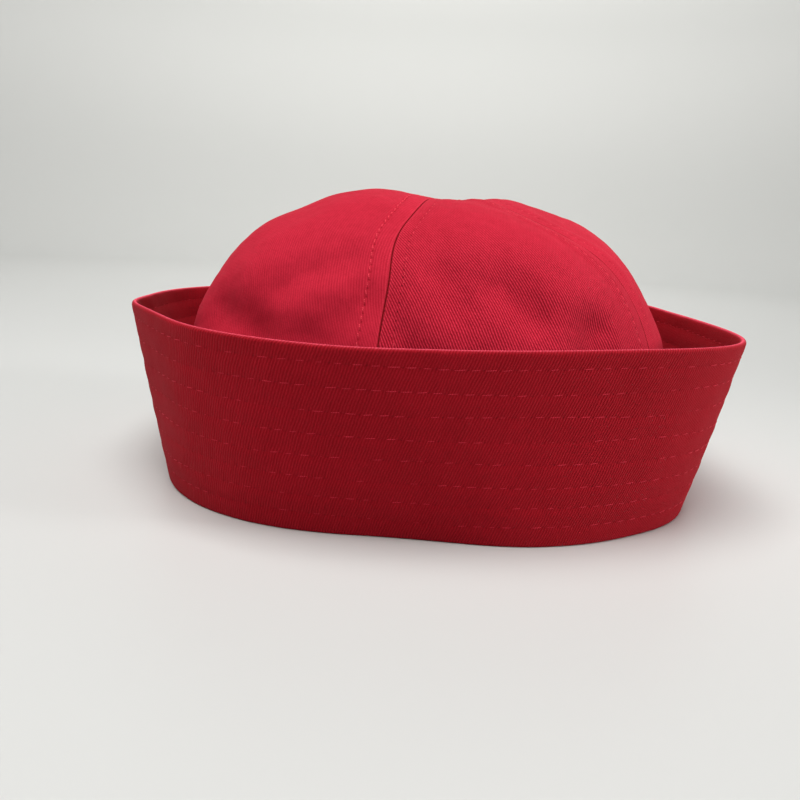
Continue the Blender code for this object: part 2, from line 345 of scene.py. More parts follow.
@dataclass(frozen=True)
class CapForm:
    """The cap's driving sizes and the surfaces that follow from them."""

    base_half_length: float = 103.3 * MM
    base_half_width: float = 87.8 * MM
    base_squareness: float = 2.44
    brim_height: float = 66.6 * MM
    brim_bow: float = 0.5 * MM
    bow_start: float = 0.2  # share of the brim's height over which the bow begins
    brim_thickness: float = 2.0 * MM
    fold_radius: float = 1.1 * MM
    fold_inner_radius: float = 0.5 * MM
    turn_in: float = 10.2 * MM
    crown_height: float = 110.7 * MM
    crown_inset: float = 7.6 * MM
    crown_inset_to_right: float = 0.4 * MM
    apex: tuple[float, float] = (3.1 * MM, 1.8 * MM)
    apex_dip: float = 3.2 * MM
    apex_dip_radius: float = 23.3 * MM
    side_roundness: float = 2.39
    side_roundness_to_right: float = 0.32
    top_roundness: float = 2.98
    top_roundness_to_right: float = -0.49
    left_fullness: float = 2.8 * MM
    gap: float = 0.3 * MM
    stand_shift: tuple[float, float, float] = (2.133 * MM, 0.171 * MM, 0.0)
    outline_steps: int = 2880
    direction_step: float = 0.5  # degrees

    @cached_property
    def lean(self) -> RoundSpline:
        """The brim's lean in degrees, round the cap."""
        return RoundSpline(BRIM_LEANS)

    @cached_property
    def stray(self) -> RoundSpline:
        """The fold's stray from the plain oval in millimetres, round the cap."""
        return RoundSpline(BRIM_STRAYS)

    def fold_plan(self, station: Array) -> Array:
        """Follows the outer face of the brim's fold in plan.

        Args:
            station: Station angles, in degrees.

        Returns:
            A point in plan for each.
        """
        turn = np.radians(station)
        sizes = (self.base_half_length, self.base_half_width)
        ways = zip(sizes, (np.cos(turn), np.sin(turn)))
        power = 2.0 / self.base_squareness
        plan = np.stack([size * signed_power(way, power) for size, way in ways], axis=-1)
        slope = unit(signed_power(plan / sizes, self.base_squareness - 1.0) / sizes)
        return plan + slope * (self.stray(station) * MM)[..., None]

    @cached_property
    def outline(self) -> tuple[Array, Array, Array]:
        """Station angles round the fold, their points in plan, and the length up to each."""
        angles = np.linspace(0.0, 360.0, self.outline_steps + 1)
        points = self.fold_plan(angles)
        return angles, points, way_along(points)

    @property
    def perimeter(self) -> float:
        """The way round the fold's outer face."""
        return float(self.outline[2][-1])

    def station_at(self, share: Array) -> Array:
        """Returns the station angles at shares of the way round the fold."""
        angles, _, lengths = self.outline
        return np.interp((share - np.floor(share)) * lengths[-1], lengths, angles)

    def outward_at(self, station: Array) -> Array:
        """Finds the outward direction of the fold in plan.

        Args:
            station: Station angles, in degrees.

        Returns:
            A direction for each.
        """
        after = self.fold_plan(station + self.direction_step)
        along = unit(after - self.fold_plan(station - self.direction_step))
        return np.stack([along[..., 1], -along[..., 0]], axis=-1)

    @cached_property
    def polar_outline(self) -> tuple[Array, Array]:
        """Azimuths in order, and the fold's distance from the oval's axis at each."""
        points = self.outline[1][:-1]
        azimuths = azimuth_of(points)
        order = np.argsort(azimuths)
        return azimuths[order], np.linalg.norm(points, axis=1)[order]

    def seam_azimuth(self, seam: Seam, rise: Array) -> Array:
        """Returns a seam's azimuth in degrees, at rises in degrees."""
        return seam.azimuth + OpenSpline(seam.wander)(rise)

    def puff_at(self, degrees: Array, rise: Array) -> Array:
        """Finds how far the gores stand out between their seams.

        Args:
            degrees: Azimuths.
            rise: 0 at the base and 90 at the apex, in degrees.

        Returns:
            The puff at each place, in metres.
        """
        puff = np.zeros_like(degrees)
        for gore in GORES:
            first = self.seam_azimuth(gore.first, rise)
            turned = (degrees - first) % 360.0
            width = (self.seam_azimuth(gore.last, rise) - first) % 360.0
            puff = np.where(turned <= width, gore.puff * MM * np.sin(math.pi * turned / width), puff)
        return puff

    def plain_crown(self, degrees: Array, rise: Array) -> Array:
        """Follows the crown's outer face before its folds are pressed in.

        Args:
            degrees: Azimuths.
            rise: 0 at the base and 90 at the apex, in degrees.

        Returns:
            A point for each place.
        """
        degrees, rise = np.broadcast_arrays(np.asarray(degrees, float), np.asarray(rise, float))
        azimuth, up = np.radians(degrees), np.radians(np.clip(rise, 0.0, 90.0))
        to_right = np.cos(azimuth)
        outward = np.stack([to_right, np.sin(azimuth)], axis=-1)
        known, radii = self.polar_outline
        radius = np.interp(degrees % 360.0, known, radii, period=360.0)
        inset = self.crown_inset + self.crown_inset_to_right * to_right
        from_apex = outward * (radius - inset)[..., None] - np.array(self.apex)
        outward = unit(from_apex)
        run = np.cos(up) ** (2.0 / (self.side_roundness + self.side_roundness_to_right * to_right))
        lift = np.sin(up) ** (2.0 / (self.top_roundness + self.top_roundness_to_right * to_right))
        puff = self.puff_at(degrees, rise) * 2.0 * run * np.sqrt(np.maximum(0.0, 1.0 - run**2))
        steep = np.hypot(run, lift)
        plan = np.array(self.apex) + from_apex * run[..., None] + outward * (puff * run / steep)[..., None]
        foot = self.brim_thickness + self.gap
        reach = run * np.linalg.norm(from_apex, axis=-1)
        height = foot + (self.crown_height - foot) * lift + puff * lift / steep
        height -= self.apex_dip * bell(reach / self.apex_dip_radius)
        height -= self.left_fullness * outward[..., 0] * 4.0 * run * (1.0 - run) * lift
        return np.concatenate([plan, height[..., None]], axis=-1)

    def crown_normal(self, degrees: Array, rise: Array) -> Array:
        """Finds the outward direction of the plain crown.

        Args:
            degrees: Azimuths.
            rise: 0 at the base and 90 at the apex, in degrees.

        Returns:
            A direction for each place.
        """
        step = self.direction_step
        around = self.plain_crown(degrees + step, rise) - self.plain_crown(degrees - step, rise)
        upward = self.plain_crown(degrees, rise + step) - self.plain_crown(degrees, rise - step)
        return unit(np.cross(around, upward))

    def fold_depth(self, points: Array) -> Array:
        """Finds how deep the soft folds press in.

        Args:
            points: Points of the plain crown.

        Returns:
            The depth at each, in metres.
        """
        depth = np.zeros(points.shape[:-1])
        for fold in FOLDS:
            start = self.plain_crown(fold.start, fold.start_rise)
            along = self.plain_crown(fold.end, fold.end_rise) - start
            part = np.clip((points - start) @ along / (along @ along), 0.0, 1.0)
            away = np.linalg.norm(points - start - part[..., None] * along, axis=-1)
            depth += fold.depth * MM * bell(away / (fold.half_width * MM))
        return depth


# --- Finishes ---------------------------------------------------------------------------------------------


class Bench:
    """Lays nodes in a tree and joins them, so that a formula of nodes reads in order."""

    def __init__(self, tree: bpy.types.NodeTree) -> None:
        """Takes the tree to work in."""
        self.tree = tree

    def lay(self, kind: str, *inputs: object, **settings: object) -> bpy.types.Node:
        """Adds a node.

        Args:
            kind: The node's type.
            inputs: What feeds its first sockets in order, sockets or values.
            settings: Its properties.

        Returns:
            The new node.
        """
        node = self.tree.nodes.new(kind)
        for name, value in settings.items():
            setattr(node, name, value)
        for socket, value in zip(node.inputs, inputs):
            self.feed(socket, value)
        return node

    def feed(self, socket: bpy.types.NodeSocket, value: object) -> None:
        """Joins a socket to another one, or sets its value.

        Args:
            socket: The socket to feed.
            value: The other socket, or the value.
        """
        if isinstance(value, bpy.types.NodeSocket):
            self.tree.links.new(value, socket)
        else:
            socket.default_value = value

    def sum(self, operation: str, *values: object) -> bpy.types.NodeSocket:
        """Returns the result of a Math node."""
        return self.lay("ShaderNodeMath", *values, operation=operation).outputs[0]

    def plus(self, first: object, second: object) -> bpy.types.NodeSocket:
        """Returns first + second."""
        return self.sum("ADD", first, second)

    def less(self, first: object, second: object) -> bpy.types.NodeSocket:
        """Returns first - second."""
        return self.sum("SUBTRACT", first, second)

    def times(self, first: object, second: object) -> bpy.types.NodeSocket:
        """Returns first * second."""
        return self.sum("MULTIPLY", first, second)

    def over(self, first: object, second: object) -> bpy.types.NodeSocket:
        """Returns first / second."""
        return self.sum("DIVIDE", first, second)

    def scaled(self, value: object, factor: object, start: object) -> bpy.types.NodeSocket:
        """Returns value * factor + start."""
        return self.sum("MULTIPLY_ADD", value, factor, start)

    def swing(self, turns: object) -> bpy.types.NodeSocket:
        """Returns a wave from 1 at whole turns to 0 between them."""
        return self.scaled(self.sum("COSINE", self.times(turns, TURN)), 0.5, 0.5)

    def bell(self, away: object, half_width: object) -> bpy.types.NodeSocket:
        """Returns a bell curve, 1 at the middle and nearly 0 two half-widths away."""
        share = self.over(away, half_width)
        return self.sum("EXPONENT", self.times(self.times(share, share), -1.0))

    def noise(self, place: object, scale: float, detail: float) -> bpy.types.NodeSocket:
        """Makes a soft random value round 0.

        Args:
            place: Where, in metres.
            scale: How fine it is, in parts of a metre.
            detail: How many finer layers it has.

        Returns:
            The value.
        """
        node = self.lay("ShaderNodeTexNoise", place)
        node.inputs["Scale"].default_value = scale
        node.inputs["Detail"].default_value = detail
        return self.less(node.outputs["Fac"], 0.5)

    def blend(self, share: object, first: object, second: object) -> bpy.types.NodeSocket:
        """Mixes two colours.

        Args:
            share: How much of the second there is, from 0 to 1.
            first: The first colour.
            second: The second colour.

        Returns:
            The mixed colour.
        """
        node = self.lay("ShaderNodeMix", data_type="RGBA", clamp_factor=True)
        sockets = {socket.identifier: socket for socket in (*node.inputs, *node.outputs)}
        for name, value in (("Factor_Float", share), ("A_Color", first), ("B_Color", second)):
            self.feed(sockets[name], value)
        return sockets["Result_Color"]


GROUP_GIVES = {"Colour": "Color", "Roughness": "Float", "Height": "Float", "Normal": "Vector"}


def new_group(
    name: str, vectors: Sequence[str], values: dict[str, float], colours: Sequence[str]
) -> tuple[Bench, bpy.types.NodeOutputs, bpy.types.NodeInputs]:
    """Makes an empty shader node group, which gives a colour, a roughness, a height and a normal.

    Args:
        name: The group's name.
        vectors: The vectors that it takes.
        values: The values that it takes, and what they usually are.
        colours: The colours that it takes.

    Returns:
        A bench to work on the group, what it is given, and the sockets for what it gives.
    """
    group = bpy.data.node_groups.new(name, "ShaderNodeTree")
    takes = dict.fromkeys(vectors, "Vector") | dict.fromkeys(values, "Float")
    takes |= dict.fromkeys(colours, "Color")
    for title, kind in takes.items():
        made = group.interface.new_socket(title, in_out="INPUT", socket_type=f"NodeSocket{kind}")
        if title in values:
            made.default_value = values[title]
    for title, kind in GROUP_GIVES.items():
        group.interface.new_socket(title, in_out="OUTPUT", socket_type=f"NodeSocket{kind}")
    bench = Bench(group)
    return bench, bench.lay("NodeGroupInput").outputs, bench.lay("NodeGroupOutput").inputs


@dataclass(frozen=True)
class TwillWeave:
    """The twill weave: slanting ribs of short floats, a little uneven, with fuzz, mottling and needle pits.

    Its group's Weave input holds millimetres across the ribs and along them. Rows holds millimetres from the
    nearest row of stitches and the count of stitches along it. From Edge holds millimetres from a folded
    edge, along which a highlight is painted, and is negative where the cloth turns down into a seam, which
    is painted dark as shade. Relief says how far the ribs show, in slope and in the shade painted into their
    grooves, and
    Place holds metres in the piece's space.
    """

    drift_scale: float = 160.0  # of the ribs' slow drift; every scale is in parts of a metre
    tremble_scale: float = 650.0  # and of their quick tremble
    tremble: float = 0.5  # in drifts
    float_shift: float = 0.37  # how much later the next rib's floats begin, in floats
    notch_sharpness: float = 4.0
    notch_depth: float = 0.35  # between a rib's floats, in ribs
    mean_ridge: float = 0.43  # the mean height of a rib's section
    fuzz_scale: float = 2600.0
    fuzz_height: float = 0.7
    fuzz_tone: float = 0.5
    patchiness_scale: float = 520.0
    patchiness_change: float = 1.1  # how much more the ribs show, and how much stronger the painted edge highlight is, in some places
    pit_sharpness: float = 12.0
    crease: float = 0.12  # how deep the cloth lies, and how much painted shade it gets, under the stitches, in pits
    pit_height: float = -1.5
    slub_scale: float = 420.0
    cloud_scale: float = 55.0
    highlight_by_ridge: float = 0.5  # how much more highlight is painted on a rib than on the groove beside it
    groove_highlight: float = 0.6
    seam_shade: float = 0.5  # millimetres inside a seam where its painted shade is full
    roughness: float = 0.95
    ridge_gloss: float = 0.12  # how much less rough a rib is

    def make(self) -> None:
        """Makes the node group."""
        vectors = ("Weave", "Rows", "Place", "Normal", "Tangent")
        values = {
            "From Edge": 0.0,
            "Relief": 1.0,
            "Rib Width": 1.0,
            "Rib Slope": 0.8,
            "Float Length": 1.5,
            "Unevenness": 0.5,
            "Mottling": 0.2,
            "Pit Width": 0.38,
            "Pit Depth": 0.4,
            "Rub Width": 1.2,
            "Rub": 0.5,
        }
        colours = ("Rib Colour", "Groove Colour", "Pit Colour", "Rubbed Colour")
        bench, given, out = new_group("twill_weave", vectors, values, colours)
        across, along, _ = bench.lay("ShaderNodeSeparateXYZ", given["Weave"]).outputs
        from_row, stitches, _ = bench.lay("ShaderNodeSeparateXYZ", given["Rows"]).outputs
        place = given["Place"]

        drift = bench.noise(place, self.drift_scale, 1.0)
        drift = bench.scaled(bench.noise(place, self.tremble_scale, 1.0), self.tremble, drift)
        rib = bench.scaled(drift, given["Unevenness"], bench.over(across, given["Rib Width"]))

        # each rib is a row of floats, and the floats of the next rib begin a little further on
        which = bench.sum("FLOOR", bench.plus(rib, 0.5))
        step = bench.scaled(which, self.float_shift, bench.over(along, given["Float Length"]))
        notch = bench.sum("POWER", bench.swing(step), self.notch_sharpness)
        ridge = bench.times(bench.swing(rib), bench.scaled(notch, -self.notch_depth, 1.0))

        fuzz = bench.noise(place, self.fuzz_scale, 3.0)
        patchiness = bench.scaled(bench.noise(place, self.patchiness_scale, 2.0), self.patchiness_change, 1.0)

        # the needle's pits lie half-way between the stitches' middles
        pits = bench.sum("POWER", bench.less(1.0, bench.swing(stitches)), self.pit_sharpness)
        pits = bench.scaled(pits, 1.0 - self.crease, self.crease)
        pit = bench.times(bench.bell(from_row, given["Pit Width"]), pits)
        bench.feed(out["Height"], bench.scaled(pit, self.pit_height, bench.times(fuzz, self.fuzz_height)))

        slubs, clouds = bench.noise(place, self.slub_scale, 3.0), bench.noise(place, self.cloud_scale, 3.0)
        tone = bench.plus(slubs, clouds)
        # the groove colour is painted shade between the ribs, shown as far as Relief says
        shown = bench.scaled(bench.less(ridge, self.mean_ridge), given["Relief"], self.mean_ridge)
        share = bench.scaled(tone, given["Mottling"], bench.scaled(fuzz, self.fuzz_tone, shown))
        colour = bench.blend(share, given["Groove Colour"], given["Rib Colour"])
        # painted shade in the needle's pits and along the rows of stitches
        colour = bench.blend(bench.times(pit, given["Pit Depth"]), colour, given["Pit Colour"])

        # a highlight is painted along folded edges, most on the raised threads
        edge_highlight = bench.times(bench.bell(given["From Edge"], given["Rub Width"]), patchiness)
        edge_highlight = bench.times(edge_highlight, bench.scaled(ridge, self.highlight_by_ridge, self.groove_highlight))
        colour = bench.blend(bench.times(edge_highlight, given["Rub"]), colour, given["Rubbed Colour"])
        # the cloth inside a seam is painted dark as shade
        inside = bench.times(given["From Edge"], -1.0 / self.seam_shade)
        bench.feed(out["Colour"], bench.blend(inside, colour, given["Pit Colour"]))
        bench.feed(out["Roughness"], bench.scaled(ridge, -self.ridge_gloss, self.roughness))

        slope = bench.times(patchiness, bench.times(given["Rib Slope"], given["Relief"]))
        slope = bench.times(bench.sum("SINE", bench.times(rib, TURN)), slope)
        tilt = bench.lay("ShaderNodeVectorMath", given["Tangent"], operation="SCALE")
        bench.feed(tilt.inputs["Scale"], slope)
        facing = bench.lay("ShaderNodeVectorMath", given["Normal"], tilt.outputs[0], operation="ADD")
        facing = bench.lay("ShaderNodeVectorMath", facing.outputs[0], operation="NORMALIZE")
        bench.feed(out["Normal"], facing.outputs[0])


@dataclass(frozen=True)
class SewingThread:
    """Sewing thread: two plies twisted together.

    Its group's Weave input holds millimetres along the thread and turns around it.
    """

    fuzz_scale: float = 3000.0  # in parts of a metre
    fuzz_tone: float = 0.6
    roughness: float = 0.75
    ply_gloss: float = 0.15  # how much less rough a ply's crest is

    def make(self) -> None:
        """Makes the node group."""
        vectors, colours = ("Weave", "Place", "Normal"), ("Ply Colour", "Groove Colour")
        bench, given, out = new_group("sewing_thread", vectors, {"Twist Length": 0.7}, colours)
        along, around, _ = bench.lay("ShaderNodeSeparateXYZ", given["Weave"]).outputs
        ply = bench.swing(bench.plus(bench.over(along, given["Twist Length"]), around))
        share = bench.scaled(bench.noise(given["Place"], self.fuzz_scale, 2.0), self.fuzz_tone, ply)
        # the groove between the plies is painted darker as shade
        bench.feed(out["Colour"], bench.blend(share, given["Groove Colour"], given["Ply Colour"]))
        bench.feed(out["Roughness"], bench.scaled(ply, -self.ply_gloss, self.roughness))
        bench.feed(out["Height"], ply)
        bench.feed(out["Normal"], given["Normal"])


@dataclass(frozen=True)
class ClothFinish:
    """A cloth's or a thread's finish: a node group's colours and relief on a soft, slightly fuzzy shader."""

    name: str
    group: str
    settings: dict[str, object]
    bump: float  # metres of relief
    sheen: float = 0.04
    sheen_roughness: float = 0.5
    sheen_tint: Colour = (1.0, 0.25, 0.3, 1.0)
    specular: float = 0.12

    def make(self) -> bpy.types.Material:
        """Makes the finish.

        Returns:
            A new material.
        """
        material = bpy.data.materials.new(self.name)
        material.use_nodes = True
        bench = Bench(material.node_tree)
        shader = material.node_tree.nodes["Principled BSDF"].inputs
        group = bench.lay("ShaderNodeGroup", node_tree=bpy.data.node_groups[self.group])
        sources = {
            "Weave": bench.lay("ShaderNodeUVMap", uv_map=WEAVE_MAP).outputs["UV"],
            "Rows": bench.lay("ShaderNodeUVMap", uv_map=ROWS_MAP).outputs["UV"],
            "From Edge": bench.lay("ShaderNodeAttribute", attribute_name=EDGE_LAYER).outputs["Fac"],
            "Relief": bench.lay("ShaderNodeAttribute", attribute_name=RELIEF_LAYER).outputs["Fac"],
            "Place": bench.lay("ShaderNodeTexCoord").outputs["Object"],
            "Normal": bench.lay("ShaderNodeNewGeometry").outputs["Normal"],
            "Tangent": bench.lay("ShaderNodeTangent", direction_type="UV_MAP", uv_map=WEAVE_MAP).outputs[0],
        }
        for name, value in (sources | self.settings).items():
            if name in group.inputs:
                bench.feed(group.inputs[name], value)
        relief = bench.lay("ShaderNodeBump")
        relief.inputs["Strength"].default_value = 1.0
        relief.inputs["Distance"].default_value = self.bump
        bench.feed(relief.inputs["Height"], group.outputs["Height"])
        bench.feed(relief.inputs["Normal"], group.outputs["Normal"])
        bench.feed(shader["Base Color"], group.outputs["Colour"])
        bench.feed(shader["Roughness"], group.outputs["Roughness"])
        bench.feed(shader["Normal"], relief.outputs["Normal"])
        shader["Metallic"].default_value = 0.0
        shader["Specular IOR Level"].default_value = self.specular
        shader["Sheen Weight"].default_value = self.sheen
        shader["Sheen Roughness"].default_value = self.sheen_roughness
        shader["Sheen Tint"].default_value = self.sheen_tint
        return material


# The crown's seams are painted dark as shade, with a narrow highlight painted along their turned edges.
CROWN_CLOTH = ClothFinish(
    name="crown_twill",
    group="twill_weave",
    settings={
        "Rib Width": 0.92,
        "Rib Slope": 0.9,
        "Unevenness": 0.5,
        "Mottling": 0.30,
        "Pit Depth": 0.55,
        "Rub": 0.2,
        "Rub Width": 0.5,
        "Rib Colour": (0.69, 0.026, 0.062, 1.0),
        "Groove Colour": (0.31, 0.003, 0.013, 1.0),
        "Pit Colour": (0.21, 0.0012, 0.004, 1.0),
        "Rubbed Colour": (0.80, 0.045, 0.085, 1.0),
    },
    bump=0.10 * MM,
    sheen=0.02,
)
# The brim's cloth is painted a darker red than the crown's, as shade on the brim's face, with a highlight
# painted along its rim.
BRIM_CLOTH = ClothFinish(
    name="brim_twill",
    group="twill_weave",
    settings={
        "Rib Width": 0.87,
        "Rib Slope": 0.7,
        "Unevenness": 0.8,
        "Mottling": 0.45,
        "Pit Width": 0.26,
        "Pit Depth": 0.3,
        "Rub": 1.0,
        "Rub Width": 0.65,
        "Rib Colour": (0.39, 0.0043, 0.015, 1.0),
        "Groove Colour": (0.26, 0.0017, 0.0065, 1.0),
        "Pit Colour": (0.12, 0.001, 0.004, 1.0),
        "Rubbed Colour": (0.90, 0.095, 0.160, 1.0),
    },
    bump=0.09 * MM,
)
CROWN_THREAD = ClothFinish(
    name="crown_thread",
    group="sewing_thread",
    settings={"Ply Colour": (0.84, 0.055, 0.095, 1.0), "Groove Colour": (0.50, 0.014, 0.030, 1.0)},
    bump=0.05 * MM,
    sheen_tint=(1.0, 0.3, 0.35, 1.0),
    specular=0.2,
)
# The brim's thread is painted darker than the crown's, as shade on the brim's face.
BRIM_THREAD = ClothFinish(
    name="brim_thread",
    group="sewing_thread",
    settings={"Ply Colour": (0.66, 0.032, 0.062, 1.0), "Groove Colour": (0.42, 0.010, 0.024, 1.0)},
    bump=0.05 * MM,
    sheen_tint=(1.0, 0.3, 0.35, 1.0),
)


# --- Sheets and stitches ----------------------------------------------------------------------------------


def place_piece(mesh: bpy.types.Mesh, material: bpy.types.Material) -> bpy.types.Object:
    """Smooths a mesh and puts it in the scene.

    Args:
        mesh: The mesh, which has the piece's name.
        material: Its finish.

    Returns:
        The new object.
    """
    mesh.shade_smooth()
    mesh.materials.append(material)
    piece = bpy.data.objects.new(mesh.name, mesh)
    bpy.context.scene.collection.objects.link(piece)
    return piece


def lay_sheet(
    name: str,
    points: Array,
    maps: dict[str, Array],
    layers: dict[str, Array],
    material: bpy.types.Material,
    closed: bool = False,
) -> bpy.types.Object:
    """Makes a sheet of quads from a grid of points.

    Args:
        name: The piece's name.
        points: Rows of points, in metres.
        maps: Each map's values at each corner. A closed sheet has one more row and column of them.
        layers: Each layer's values, one at each point.
        material: The sheet's finish.
        closed: Whether the last row joins the first, and the last column the first.

    Returns:
        The new object, linked to the scene.
    """
    rows, columns = points.shape[:2]
    index = np.arange(rows * columns).reshape(rows, columns)
    if closed:
        index = np.pad(index, (0, 1), mode="wrap")

    def corners(grid: Array) -> Array:
        """Returns a grid's values at the four corners of each quad."""
        return np.stack([grid[:-1, :-1], grid[:-1, 1:], grid[1:, 1:], grid[1:, :-1]], axis=2)

    mesh = bpy.data.meshes.new(name)
    mesh.from_pydata(points.reshape(-1, 3).tolist(), [], corners(index).reshape(-1, 4).tolist())
    for map_name, values in maps.items():
        layer = mesh.uv_layers.new(name=map_name)
        layer.data.foreach_set("uv", corners(values).reshape(-1).astype(np.float32))
    for layer_name, values in layers.items():
        layer = mesh.attributes.new(layer_name, "FLOAT", "POINT")
        layer.data.foreach_set("value", values.reshape(-1).astype(np.float32))
    mesh.validate()
    return place_piece(mesh, material)


class StitchRun(NamedTuple):
    """Stitches in a row: where each one lies, which way it runs, and which way the cloth faces."""

    centres: Array
    along: Array
    normals: Array


@dataclass(frozen=True)
class Stitching:
    """Rows of single stitches, each a short thread whose ends dive into the cloth."""

    length: float
    thickness: float
    slant: float = 4.0  # degrees that a stitch turns out of its row
    slant_change: float = 0.4  # how much more some turn, in slants
    length_change: float = 0.06
    stand: float = 0.1  # how far a stitch's middle lies above the cloth, in thicknesses
    dive: float = 1.15  # how far its ends go down, in thicknesses
    unevenness: float = 0.1  # how much deeper some stitches are pulled than others, in thicknesses
    taper: float = 0.35
    bend: int = 3  # how late a stitch bends down, as a power
    rings: int = 7
    sides: int = 6
    seed: int = 7

    def sew(self, name: str, runs: Sequence[StitchRun], material: bpy.types.Material) -> bpy.types.Object:
        """Makes all the stitches of some runs as one piece.

        Args:
            name: The piece's name.
            runs: The rows of stitches.
            material: The thread's finish.

        Returns:
            The new object, linked to the scene.
        """
        draw = np.random.default_rng(self.seed)
        centres, along, normals = (np.concatenate(part) for part in zip(*runs))
        count = len(centres)
        along = unit(along)
        beside = unit(np.cross(unit(normals), along))
        turn = np.radians(self.slant * (1.0 + self.slant_change * draw.normal(size=count)))[:, None]
        cos, sin = np.cos(turn), np.sin(turn)
        along, beside = along * cos + beside * sin, beside * cos - along * sin
        normals = unit(np.cross(along, beside))
        lengths = self.length * (1.0 + self.length_change * draw.normal(size=count))
        pulled = self.thickness * self.unevenness * np.abs(draw.normal(size=count))
        centres = centres - normals * pulled[:, None]

        place = np.linspace(-1.0, 1.0, self.rings)
        bent = np.abs(place) ** self.bend
        around = TURN * np.arange(self.sides) / self.sides
        lift = self.thickness * (self.stand - (self.stand + self.dive) * bent)
        radius = self.thickness / 2.0 * (1.0 - self.taper * bent)
        reach = place[None, :, None, None] * lengths[:, None, None, None] / 2.0 * along[:, None, None, :]
        side = (radius[:, None] * np.cos(around))[None, :, :, None] * beside[:, None, None, :]
        up = (lift[:, None] + radius[:, None] * np.sin(around))[None, :, :, None] * normals[:, None, None, :]
        points = centres[:, None, None, :] + reach + side + up

        ring = np.arange(self.rings - 1)[:, None] * self.sides
        step = np.arange(self.sides)[None, :]
        after = (step + 1) % self.sides
        beyond = ring + self.sides
        quads = np.stack([ring + step, beyond + step, beyond + after, ring + after], axis=-1)
        each = self.rings * self.sides
        starts = np.arange(count)[:, None, None] * each
        faces = (quads.reshape(1, -1, 4) + starts).reshape(-1, 4).tolist()
        caps = np.stack([np.arange(self.sides), each - 1 - np.arange(self.sides)])
        faces += (caps[None] + starts).reshape(-1, self.sides).tolist()

        mesh = bpy.data.meshes.new(name)
        mesh.from_pydata(points.reshape(-1, 3).tolist(), [], faces)
        corner = np.zeros(len(mesh.loops), np.int32)
        mesh.loops.foreach_get("vertex_index", corner)
        within = corner % each
        mm_along = lengths[corner // each] / MM * place[within // self.sides] / 2.0
        weave = np.stack([mm_along, (within % self.sides) / self.sides], axis=-1)
        mesh.uv_layers.new(name=WEAVE_MAP).data.foreach_set("uv", weave.reshape(-1).astype(np.float32))
        return place_piece(mesh, material)


def settle(piece: bpy.types.Object, form: CapForm, nodes: Sequence[str] = ()) -> None:
    """Stands a piece over the origin, has it ride on the cap and hides the solids that it stands for.

    Args:
        piece: The piece.
        form: The cap's form, which holds the shift over the origin.
        nodes: The solids that it stands for.
    """
    shift = Matrix.Translation(Vector(form.stand_shift))
    piece.data.transform(shift)
    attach(piece, "root")
    if nodes:
        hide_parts(*nodes)
    mesh = piece.evaluated_get(bpy.context.evaluated_depsgraph_get()).to_mesh()
    triangles = sum(len(face.vertices) - 2 for face in mesh.polygons)
    log.info("%s: %d triangles", piece.name, triangles)


# --- Brim -------------------------------------------------------------------------------------------------


class Face(Enum):
    """The two faces of the brim's wall."""

    OUTER = 1
    INNER = -1

    @property
    def shift(self) -> float:
        """How far along their rows its stitches lie beyond those of the outer face, in stitches."""
        return 0.0 if self is Face.OUTER else 0.5


class BrimPlace(NamedTuple):
    """The brim's stance at some places: the fold in plan, its outward direction and its lean in radians."""

    plan: Array
    outward: Array
    lean: Array


class Section(NamedTuple):
    """Points of a section, in metres outwards and up from the brim's fold, and which way the cloth faces."""

    out: Array
    up: Array
    facing_out: Array
    facing_up: Array


